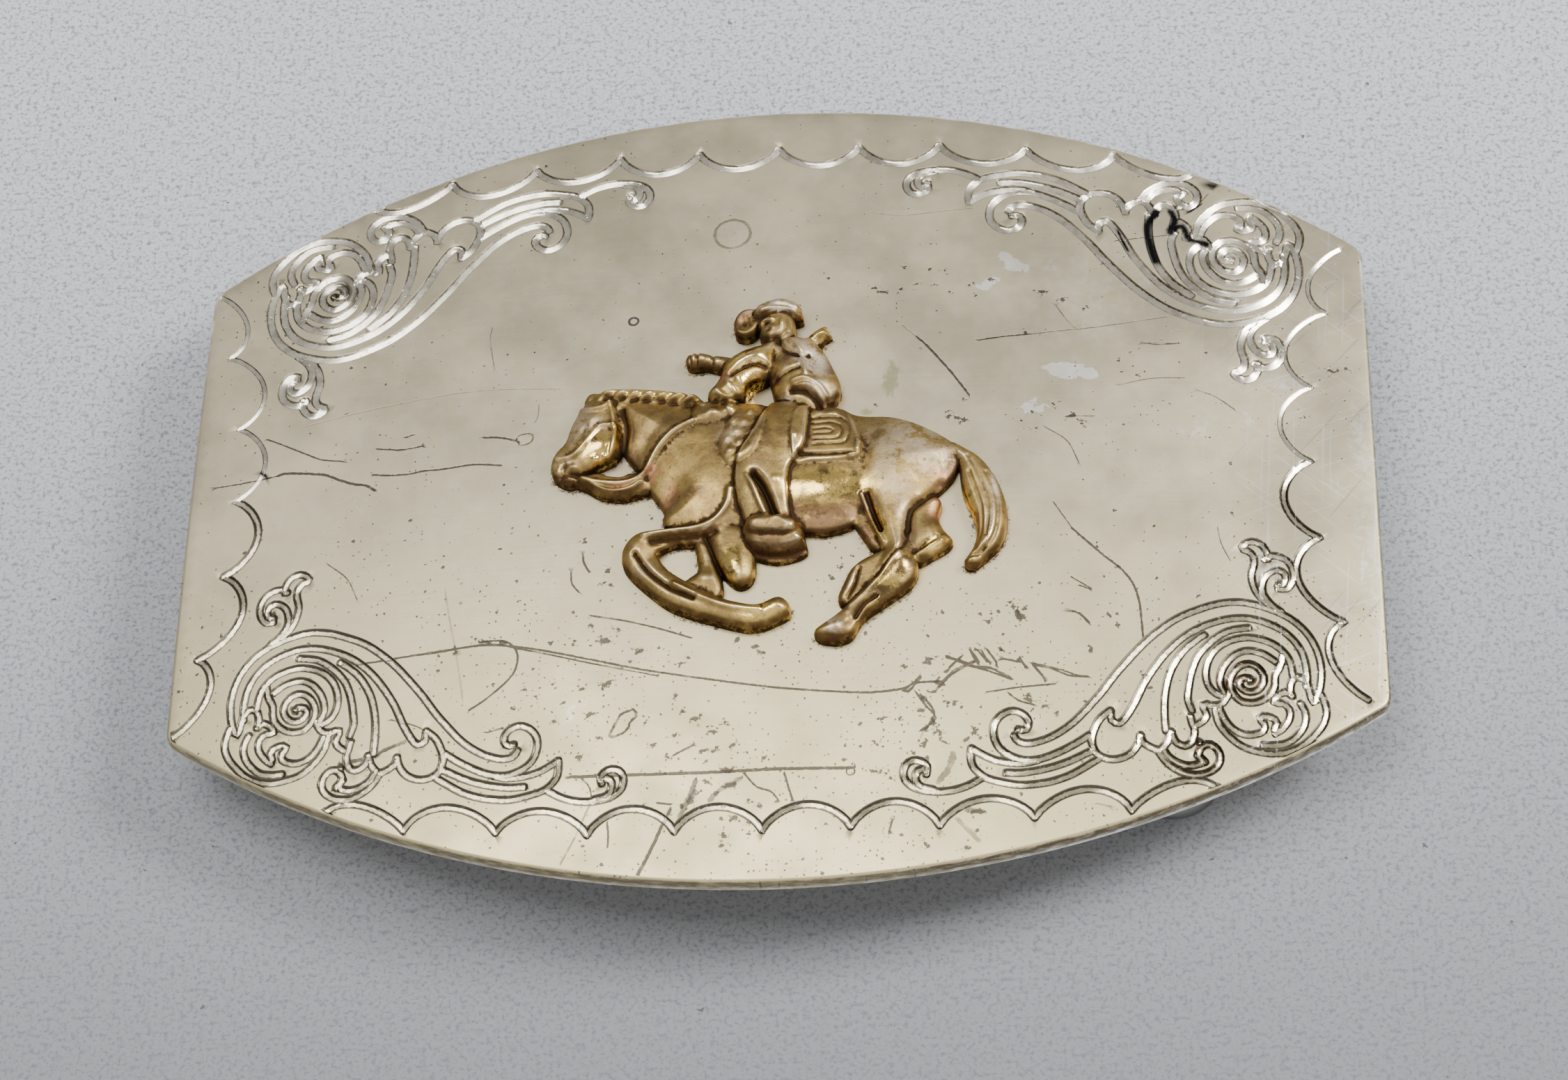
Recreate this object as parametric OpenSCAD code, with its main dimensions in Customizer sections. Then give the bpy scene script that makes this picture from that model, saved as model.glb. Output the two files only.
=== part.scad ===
// Western belt buckle: a domed plate with a cast horse and rider on its face,
// and a belt hook and a wire belt loop on its back.
// Frame: X along the buckle's length, Y up its height as worn, Z out of its face.
// The origin is under the middle of the plate, on the surface that it lies on.

/* [Plate] */
// Length of the plate between its straight ends
plate_l = 90; // [84:1:100]
// Height of the plate across the middle of its arched edges
plate_h = 67.4; // [62:0.2:70]
// Radius of the arched top and bottom edges
edge_r = 80; // [76:1:100]
// How far the plate's trimmed corners reach from its middle
corner_reach = 49; // [48:0.1:50]
// Thickness of the plate's metal
plate_t = 1.5; // [1.2:0.1:2]
// Radius that the face is domed to
dome_r = 300; // [260:10:400]
// Height of the face's middle above the surface that the buckle lies on
stand_h = 12; // [11.5:0.5:14]

/* [Hook] */
// Distance of the hook's post from the middle of the plate
hook_x = 24; // [18:1:30]
// Diameter of the hook's wire
hook_d = 3.2; // [2.6:0.2:4]
// Radius of the hook's bend, at the middle of the wire
hook_bend = 3.6; // [3:0.2:4]
// Straight length of the hook's tip
hook_tip = 4; // [3:0.5:6]
// Diameter of the hook's foot
hook_foot_d = 9; // [7:0.5:10]
// Thickness of the hook's foot
hook_foot_t = 1; // [0.8:0.1:1.5]

/* [Loop] */
// Diameter of the loop's wire
loop_d = 2.8; // [2.4:0.2:3.2]
// Width of the loop between the middles of its side wires
loop_w = 48.6; // [42:0.2:50]
// Distance of the loop's hinge wire from the middle of the plate
loop_near_x = 15.5; // [12:0.5:18]
// Length of the loop from its hinge wire to its free bar
loop_l = 17; // [14:0.5:18]
// Height of the hinge wire above the surface that the buckle lies on
loop_near_z = 7; // [6.4:0.1:7.2]
// Radius of the loop's corners, at the middle of the wire
loop_bend = 3; // [2.5:0.5:5]
// Length of the block that holds the hinge wire
block_l = 22; // [16:1:30]
// Width of the block that holds the hinge wire
block_w = 6; // [5:0.5:8]

/* [Figure] */
// Height of the casting's upright edge before it rounds over
wall_h = 0.8; // [0.5:0.1:1]
// Gap between the casting or a fitting and the plate
seat_gap = 0.08; // [0.06:0.01:0.15]

/* [Hidden] */
$fn = 96;
form_fn = 16;
face_z = stand_h - dome_r;
edge_y = plate_h / 2 - edge_r;
hook_r = hook_d / 2;
loop_r = loop_d / 2;
back_r = dome_r - plate_t - seat_gap;
loop_tilt = asin((loop_near_z - loop_r) / loop_l);
nickel = [0.74, 0.73, 0.68];
gold = [0.72, 0.55, 0.28];
steel = [0.6, 0.6, 0.6];

// Each form of the casting is a chain of rounds. Columns: x, y, radius, height.
barrel = [[-4.6, -1.2, 4.4, 2.1], [1.5, -1.6, 4.9, 2.4], [6, -1.8, 4.8, 2.4],
          [9.4, -1.3, 4.4, 2.3], [10.6, -1.2, 3.4, 2.1]];
neck = [[-5.2, 0.6, 4.2, 2.1], [-8.4, 2.6, 3.5, 2], [-11.4, 3.9, 2.3, 1.9]];
chest = [[-5.2, -2.6, 3.1, 2.1], [-5.6, -4.2, 2.1, 1.9]];
head = [[-12.7, 3.7, 2.2, 1.9], [-13.8, 1.4, 1.9, 1.9], [-14.9, -0.6, 1.45, 1.6]];
cheek = [[-12.6, 1.5, 1.8, 2.2], [-11.8, 2.6, 1.5, 2]];
ear = [[-13.3, 5.4, 0.6, 1.8], [-13.5, 6.1, 0.3, 1.6]];
mane = [[-12.6, 5.9, 0.6, 2], [-9.2, 5.7, 0.65, 2.2], [-5.8, 4.7, 0.6, 2.2]];
strap = [[-14.2, -1.7, 0.55, 1.4], [-12.6, -2.5, 0.6, 1.4], [-10.8, -2.7, 0.6, 1.4],
         [-9.4, -1.9, 0.6, 1.5], [-8.6, 0.2, 0.4, 2.3]];
near_fore = [[-4.8, -5.6, 1.5, 1.9], [-8.8, -7.6, 1.45, 1.7], [-9.1, -8.9, 1.35, 1.6],
             [-6.8, -11.5, 1.25, 1.7], [-3.4, -13.2, 1.05, 1.6], [-0.9, -13.7, 0.95, 1.5],
             [0.8, -13.2, 1.05, 1.6]];
far_fore = [[-3.1, -6.6, 1.3, 1.7], [-3.2, -8.4, 1.1, 1.6], [-1.9, -10.5, 0.9, 1.7]];
far_cannon = [[-4.2, -8.6, 0.75, 1.3], [-4.5, -10.6, 0.9, 1.4]];
near_hind = [[9.4, -4, 2.7, 2.1], [9.6, -8, 1.2, 1.8], [9.4, -10.4, 1.45, 1.9],
             [7, -12.8, 1.1, 1.7], [5.8, -14, 0.95, 1.6], [5, -14.9, 1.1, 1.6]];
stifle = [[7.4, -5, 1.1, 1.6], [8.1, -8, 0.7, 1.4]];
far_hind = [[12, -3.4, 1.7, 1.8], [11.6, -6.2, 1.1, 1.6], [12.6, -7.7, 0.95, 1.6],
            [11.4, -9.2, 0.75, 1.5]];
far_hoof = [[7.4, -9.8, 0.85, 1.3], [6.2, -11.4, 0.75, 1.3]];
tail = [[14, 0, 0.8, 1.5], [15.4, -1.8, 0.85, 1.5], [16.1, -4.2, 1.2, 1.6],
        [16.5, -6.6, 1.05, 1.5], [16.1, -8, 0.9, 1.4], [15.1, -9.4, 0.5, 1.3]];
saddle = [[-4.3, 3.9, 1.2, 2.4], [-2.4, 3.4, 1.3, 2.6], [-2.3, 0.9, 1.2, 2.6]];
blanket = [[4.4, 1.3, 1.9, 2.6], [5.6, 1.3, 1.6, 2.6], [5.6, 2.6, 1.2, 2.5]];
leg = [[1.6, 4.2, 1.8, 2.9], [0.9, 1.2, 2.1, 3.2], [-0.1, -2.6, 2, 3.2],
       [0.5, -5.8, 1.8, 2.9]];
boot = [[0.2, -7.2, 1.2, 2.6], [1.4, -7.6, 1.4, 2.6]];
torso = [[3.5, 5.4, 1.6, 2.8], [3, 7.2, 2.1, 2.9], [1.4, 8.7, 1.6, 2.8]];
near_arm = [[-0.4, 8.6, 1.4, 3], [-2.4, 6.9, 1.4, 3], [-3.6, 5, 0.9, 2.6]];
far_arm = [[-2.8, 8.3, 0.9, 2], [-4.8, 8.7, 0.6, 1.6], [-5.9, 8.7, 0.65, 1.7]];
rider_head = [[0.2, 10.1, 0.85, 2.4], [0.1, 11.3, 1.1, 2.6]];
hat_brim = [[-1.9, 11.9, 0.8, 2.2], [-1.4, 12.3, 0.9, 2.3], [1.8, 12.4, 0.6, 2.2]];
hat_crown = [[-0.1, 12.6, 0.8, 2.8], [1, 12.7, 0.8, 2.7]];
scarf_knot = [[2.7, 9.9, 0.6, 2.2], [3.4, 10.5, 0.6, 1.9]];

horse_forms = [barrel, neck, chest, head, cheek, ear, mane, strap, near_fore, far_fore,
               far_cannon, near_hind, stifle, far_hind, far_hoof, tail];
rider_forms = [saddle, blanket, leg, boot, torso, near_arm, far_arm, rider_head,
               hat_brim, hat_crown, scarf_knot];

// Height of the domed face at a place on the plate
function face_at(x, y) = face_z + sqrt(dome_r * dome_r - x * x - y * y);

// The part of the domed ball that lies above the resting surface
module dome_cap(r, turn_fn = 240, arc_fn = 1440) {
  rotate_extrude($fn = turn_fn)
    intersection() {
      translate([0, face_z]) circle(r = r, $fn = arc_fn);
      square([plate_l, stand_h + wall_h]);
    }
}

// The metal's thickness between the face and the back
module dome_shell() {
  rotate_extrude($fn = 240)
    intersection() {
      difference() {
        translate([0, face_z]) circle(r = dome_r, $fn = 1440);
        translate([0, face_z]) circle(r = dome_r - plate_t, $fn = 1440);
      }
      square([plate_l * 0.6, stand_h + 1]);
    }
}

// The outline: straight ends, arched long edges and trimmed corners
module plate_blank() {
  blank_h = stand_h + 2;
  translate([0, 0, -1])
    intersection() {
      translate([-plate_l / 2, -plate_h, 0]) cube([plate_l, 2 * plate_h, blank_h]);
      translate([0, edge_y, 0]) cylinder(r = edge_r, h = blank_h, $fn = 360);
      translate([0, -edge_y, 0]) cylinder(r = edge_r, h = blank_h, $fn = 360);
      cylinder(r = corner_reach, h = blank_h, $fn = 360);
    }
}

module plate() {
  color(nickel)
    intersection() {
      dome_shell();
      plate_blank();
    }
}

// One round of a form: an upright edge with a rounded top, standing on the face
module form_round(x, y, r, h) {
  rise = max(h - wall_h, 0.3);
  translate([x, y, face_at(x, y)]) {
    translate([0, 0, -0.6]) cylinder(r = r, h = wall_h + 0.6, $fn = form_fn);
    translate([0, 0, wall_h]) scale([1, 1, rise / r]) sphere(r = r, $fn = form_fn);
  }
}

// A form of the casting: each round is blended with the next
module form(rounds) {
  for (i = [0 : len(rounds) - 2])
    hull()
      for (p = [rounds[i], rounds[i + 1]])
        form_round(p[0], p[1], p[2], p[3]);
}

module horse_and_rider() {
  color(gold)
    difference() {
      union() {
        for (f = horse_forms) form(f);
        for (f = rider_forms) form(f);
      }
      dome_cap(dome_r + seat_gap, 48, 360);
    }
}

// The hook stands square to the back, so it leans with the dome there
module belt_hook() {
  lean = asin(hook_x / back_r);
  seat_z = face_z + sqrt(back_r * back_r - hook_x * hook_x);
  tip_reach = hook_bend + hook_tip;
  post_l = (seat_z - hook_r - tip_reach * sin(lean)) / cos(lean) - hook_bend;
  color(steel)
    translate([-hook_x, 0, seat_z]) rotate([0, -lean, 0]) {
      translate([0, 0, -hook_foot_t]) cylinder(d = hook_foot_d, h = hook_foot_t);
      translate([0, 0, -post_l]) cylinder(r = hook_r, h = post_l - hook_foot_t / 2);
      translate([-hook_bend, 0, -post_l])
        rotate([90, 0, 0]) rotate([0, 0, -90])
          rotate_extrude(angle = 90) translate([hook_bend, 0]) circle(r = hook_r);
      translate([-tip_reach, 0, -post_l - hook_bend]) {
        rotate([0, 90, 0]) cylinder(r = hook_r, h = hook_tip);
        sphere(r = hook_r);
      }
    }
}

// The wire loop flat in its own plane, its hinge wire on the Y axis
module wire_loop() {
  half_w = loop_w / 2;
  straight_w = loop_w - 2 * loop_bend;
  for (x = [0, loop_l])
    translate([x, straight_w / 2, 0]) rotate([90, 0, 0]) cylinder(r = loop_r, h = straight_w);
  for (side = [-1, 1])
    translate([loop_bend, side * half_w, 0])
      rotate([0, 90, 0]) cylinder(r = loop_r, h = loop_l - 2 * loop_bend);
  for (end = [0, 1], side = [0, 1])
    translate([loop_l / 2, 0, 0]) mirror([end, 0, 0]) mirror([0, side, 0])
      translate([loop_l / 2 - loop_bend, half_w - loop_bend, 0])
        rotate_extrude(angle = 90) translate([loop_bend, 0]) circle(r = loop_r);
}

module belt_loop() {
  sleeve_r = loop_r + 0.9;
  color(steel) {
    translate([loop_near_x, 0, loop_near_z]) rotate([0, loop_tilt, 0]) wire_loop();
    translate([loop_near_x, block_l / 2, loop_near_z])
      rotate([90, 0, 0]) cylinder(r = sleeve_r, h = block_l);
    intersection() {
      translate([loop_near_x - block_w / 2, -block_l / 2, loop_near_z])
        cube([block_w, block_l, stand_h]);
      dome_cap(back_r);
    }
  }
}

plate();
horse_and_rider();
belt_hook();
belt_loop();
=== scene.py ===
"""A worn western belt buckle: an engraved, domed plate with a cast horse and rider, a hook and a loop."""

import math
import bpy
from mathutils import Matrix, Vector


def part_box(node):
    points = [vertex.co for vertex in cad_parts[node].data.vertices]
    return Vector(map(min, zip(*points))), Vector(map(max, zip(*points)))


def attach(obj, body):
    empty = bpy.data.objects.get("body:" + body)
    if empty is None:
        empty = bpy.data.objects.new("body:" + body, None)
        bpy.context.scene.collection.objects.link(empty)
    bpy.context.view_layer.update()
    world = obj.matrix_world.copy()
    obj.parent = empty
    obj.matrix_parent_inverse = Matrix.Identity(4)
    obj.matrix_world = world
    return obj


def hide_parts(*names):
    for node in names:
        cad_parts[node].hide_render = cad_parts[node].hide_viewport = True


bl_info = {
    "name": "Western Belt Buckle",
    "version": (1, 0, 0),
    "blender": (4, 5, 0),
    "location": "View3D > Sidebar > Buckle",
    "description": "Builds the engraved plate, the casting, the hook, the loop and the stage",
    "category": "Object",
}

import bpy
import numpy as np
from bpy.props import FloatProperty, FloatVectorProperty, PointerProperty
from mathutils import Matrix, Vector
from mathutils.geometry import delaunay_2d_cdt

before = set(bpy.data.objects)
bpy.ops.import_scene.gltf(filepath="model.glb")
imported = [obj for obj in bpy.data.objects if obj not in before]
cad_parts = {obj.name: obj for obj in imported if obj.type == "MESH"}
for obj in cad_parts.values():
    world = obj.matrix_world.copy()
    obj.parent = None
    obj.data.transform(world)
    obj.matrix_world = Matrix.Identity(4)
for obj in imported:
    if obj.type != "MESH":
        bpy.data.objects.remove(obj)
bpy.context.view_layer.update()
PLATE_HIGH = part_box("plate")[1]
FIGURE_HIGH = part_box("horse_and_rider")[1]

MM = 0.001
MIRRORS = ((1, 1), (-1, 1), (1, -1), (-1, -1))

# Between the fittings and the plate's back, and the hook's fillet, in metres.
FITTING_GAP = 0.00004
HOOK_FILLET = 0.0007

# The net that the casting is cut from, and the spacing along an outline, in millimetres.
CASTING_SPAN_X, CASTING_SPAN_Y = (-17.2, 18.4), (-16.4, 14.4)
OUTLINE_STEP = 0.35

# How often the casting's surface is evened out to find its hollows, ridges and slopes for the tarnish, polish,
# painted shade and painted highlight, and its least height.
HOLLOW_PASSES, RIDGE_PASSES, SLOPE_PASSES = 60, 30, 12
LEAST_HEIGHT = 0.35

# The engraving of one quarter of the face, in millimetres from the plate's middle.
# It is mirrored into all four quarters. Where a row lists no pairs, its points run x, y, x, y and so on.
BORDER_CUSPS_LONG = [(0, 29.8), (6.32, 29.7), (12.64, 29.7), (19.35, 29.15), (26.2, 28.55), (32.3, 26.9)]
BORDER_LOWS_LONG = [(3.2, 27.95), (9.5, 27.85), (16, 27.7), (23, 27), (29.6, 26.35)]
BORDER_CUSPS_SIDE = [(40.7, 0), (41.05, 6.55), (42.5, 13.45), (43.9, 19.6)]
BORDER_LOWS_SIDE = [(38.6, 3.3), (39.3, 10), (41.35, 16.3)]

# How far the borders along the two ends sit off the middle, in millimetres.
END_BORDER_SHIFT = -0.57

# The width of the end borders' upper lines, as a share of the other lines' width.
END_BORDER_SHARE = 0.6

SCROLLS = {
    "tail curl": [15.75, 26.1, 14.6, 26.75, 13.4, 27.1, 12.2, 27.15, 11, 26.9, 10.25, 26.3, 10.1, 25.5,
        10.5, 24.85, 11.2, 24.75, 11.75, 25.2, 11.7, 25.8],
    "tail inner": [12.2, 27, 11.3, 26.75, 10.95, 26.2, 11.05, 25.6, 11.4, 25.4],
    "spear top": [24.2, 24.5, 23, 25.3, 22, 25.9, 21, 26.3, 20, 26.55, 18.5, 26.7, 17.2, 26.5, 16, 26.15,
        15.3, 25.6, 14.95, 25, 14.9, 24.2, 14.95, 23.85],
    "spear bottom": [15, 23.9, 15.8, 24.4, 16.7, 24.8, 17.8, 25, 18.8, 25, 19.6, 24.8],
    "spear middle": [17.4, 25.75, 18.6, 25.75, 20.2, 25.45, 21.7, 24.95, 23.2, 24.2, 23.6, 23.9, 23.4, 23],
    "big curl": [23.4, 22.8, 22.3, 23.55, 21.2, 24.15, 20, 24.65, 18.8, 24.8, 17.7, 24.45, 16.9, 23.8,
        16.55, 22.9, 16.6, 22, 17.1, 21.3, 17.9, 20.95, 18.7, 21.25, 19.05, 21.9, 18.8, 22.45, 18.3, 22.4],
    "long sweep": [18, 22.9, 18.3, 23.35, 19.1, 23.5, 20.3, 23.15, 21.3, 22.6, 22.3, 21.8, 23.3, 20.7,
        24.3, 19.5, 25.3, 18.1, 26.4, 16.75, 27.5, 15.5, 28.7, 14.4, 30, 13.45, 31.5, 12.75, 33, 12.25,
        34.5, 12.1, 36, 12.4, 37.5, 13, 38.6, 13.8, 39.4, 14.8, 39.9, 16, 40.1, 17.3, 40, 18.5, 39.75, 19.4,
        39.4, 20, 39.15, 19, 38.95, 18.3, 38.5, 18, 38, 18.2, 37.8, 19, 37.9, 19.5],
    "second sweep": [24.9, 21.1, 25, 21.7, 25.5, 21.9, 26, 21.4, 26.7, 20.2, 27.4, 18.7, 28.2, 17.4,
        29.1, 16.2, 30.1, 15.2, 31.2, 14.4, 32.5, 13.8, 33.8, 13.45, 35, 13.4, 36.2, 13.7, 37.4, 14.3,
        38.3, 15.2, 38.85, 16.3, 39.05, 17.6, 39, 18.8],
    "round lobe": [24.9, 20.9, 24.2, 21.5, 23.8, 22.2, 23.55, 23, 23.6, 23.8, 24, 24.4, 24.8, 24.7,
        25.6, 24.6, 26.3, 24.2, 26.8, 23.5, 27, 22.8],
    "small lobe": [27, 22.9, 27.2, 23.4, 27.8, 23.8, 28.3, 23.95],
    "curled lobe": [28.2, 24, 28.8, 24.9, 29.6, 25.5, 30.5, 25.8, 31.5, 25.7, 32.3, 25.2, 32.6, 24.5,
        32.4, 23.8, 31.8, 23.4, 31.2, 23.8, 31.1, 24.3, 31.5, 24.8],
    "lobe inner": [28.6, 23.9, 29, 24.5, 29.8, 25, 30.6, 25.1, 31.3, 24.8, 31, 24.3],
    "lobe stalk": [28.5, 23.8, 28.9, 23.3, 29.2, 22.5],
    "first rib": [28.8, 22.4, 28.75, 21, 28.85, 19.5, 29.2, 18, 29.75, 16.85, 30.45, 15.9, 31.25, 15.2,
        31.8, 14.8],
    "leaf tip": [29.2, 22.6, 29.5, 23.3, 30.1, 23.6, 30.6, 23.3, 30.85, 22.5, 30.7, 21.8, 30.6, 21.3],
    "leaf step": [30.9, 22, 31.4, 21.7, 31.75, 21.2, 31.55, 20.6, 31.6, 20.25, 32.2, 20.4, 32.8, 20.3,
        33.2, 19.8, 33.4, 19.4],
    "second rib": [30.7, 20.8, 30.45, 19.9, 30.6, 18.7, 30.85, 17.6, 31.3, 16.5, 32, 15.6, 32.8, 14.9,
        33.7, 14.4, 35, 14.15],
    "spiral eye": [34.9, 18.2, 34.4, 18.2, 34.15, 18.6, 34.4, 19.1, 34.9, 19.3, 35.5, 19.1, 35.9, 18.5,
        35.9, 17.9, 35.5, 17.3, 34.9, 17.05, 34.2, 17.3, 33.7, 17.9, 33.5, 18.6, 33.7, 19.4, 34.2, 20,
        34.9, 20.15, 35.6, 20, 36.3, 19.5, 36.7, 18.8, 36.8, 17.9, 37.2, 17.1, 37.4, 16.3],
    "middle coil": [36.8, 16.8, 36, 16.25, 35, 16, 34.1, 16.25, 33.4, 16.9, 32.95, 17.7, 32.8, 18.6,
        33.1, 19.4],
    "outer coil": [38.05, 18, 37.95, 17.2, 37.7, 16.4, 37, 15.6, 36.1, 15.15, 35, 14.95, 33.9, 15.15,
        33, 15.6, 32.3, 16.3, 31.9, 17.2, 31.8, 18.2, 32.1, 19.1, 32.7, 19.6, 33.2, 19.6],
    "round edge": [32.35, 20.4, 32.4, 21, 32.65, 21.9, 33.3, 22.8, 34.2, 23.55, 35.2, 23.9, 36.4, 24.05,
        37.5, 23.85, 38.5, 23.35, 39.4, 22.5, 40, 21.7, 40.3, 20.8, 40.2, 19.9, 39.95, 19.3],
    "first leaf": [32.7, 20.7, 33.1, 21.6, 33.7, 22.3, 34.5, 22.65, 35.3, 22.55, 35.8, 22.2, 35.8, 21.7,
        35.5, 21.4, 35.7, 21.15, 36.2, 21.2, 36.7, 21.5, 36.55, 22.2],
    "second leaf": [36.6, 22.5, 37.1, 22.1, 37.6, 21.4, 37.7, 20.7, 37.35, 20.15, 36.6, 20.05, 36.9, 19.5,
        37.5, 19.2, 37.9, 19.5],
    "side arc": [35.7, 23.4, 36.5, 23.4, 37.4, 23.2, 38.15, 22.6, 38.7, 21.75, 38.8, 20.85, 38.5, 20.1],
    "bud inner": [37.4, 12.8, 36.7, 12.2, 36.2, 11.4, 36.15, 10.6, 36.4, 9.9, 36.95, 9.45, 37.5, 9.4,
        37.85, 9.8, 37.75, 10.4, 37.3, 10.6],
    "bud left": [36.6, 12.3, 35.9, 11.6, 35.5, 10.7, 35.4, 9.8, 35.6, 9, 35.6, 8.3, 35.2, 7.85, 34.75, 7.65,
        35.1, 7.2, 35.7, 7.05, 36.3, 7.4, 36.6, 8, 36.6, 8.5],
    "bud outer": [36.4, 8.5, 36.9, 8.2, 37.6, 8.3, 38.2, 8.8, 38.45, 9.6, 38.3, 10.4, 37.85, 10.9,
        37.3, 10.9],
}

# Round punches that end the engraved lines, in the same quarter. Columns: x, y.
PUNCHES = [(18.3, 22.4), (31.2, 23.3), (37.4, 10.5), (35, 18.3), (11.7, 25.6), (37.9, 19.5)]

PUNCH_RADIUS = 0.3

# Which way the cutter leaned, and where a cut's steep wall starts, in half widths.
CUTTER_LEAN = (0.7071, -0.7071)
CUTTER_WALL = 0.76

# Where the mesh has points across a cut and round its ends, in widths from its middle.
ACROSS_CUT = (0, -0.2, 0.2, -0.38, 0.38, -0.5, 0.5, -0.66, 0.66)
ROUND_END = (0.25, 0.42, 0.5, 0.66)

# Spacing of the mesh's points along cuts and strokes, and in its nets. The close net lies under the casting.
ENGRAVING_STEP, STROKE_STEP = 0.3, 0.35
WIDE_NET, CLOSE_NET, BACK_NET = 0.8, 0.3, 2.0
CASTING_REACH = 20

# How far out the cuts' dirt, painted shade and painted highlight are measured, in half widths, and how round the
# back's edge is.
CUT_REACH = 1.32
BACK_ROUND = 0.25

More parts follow.
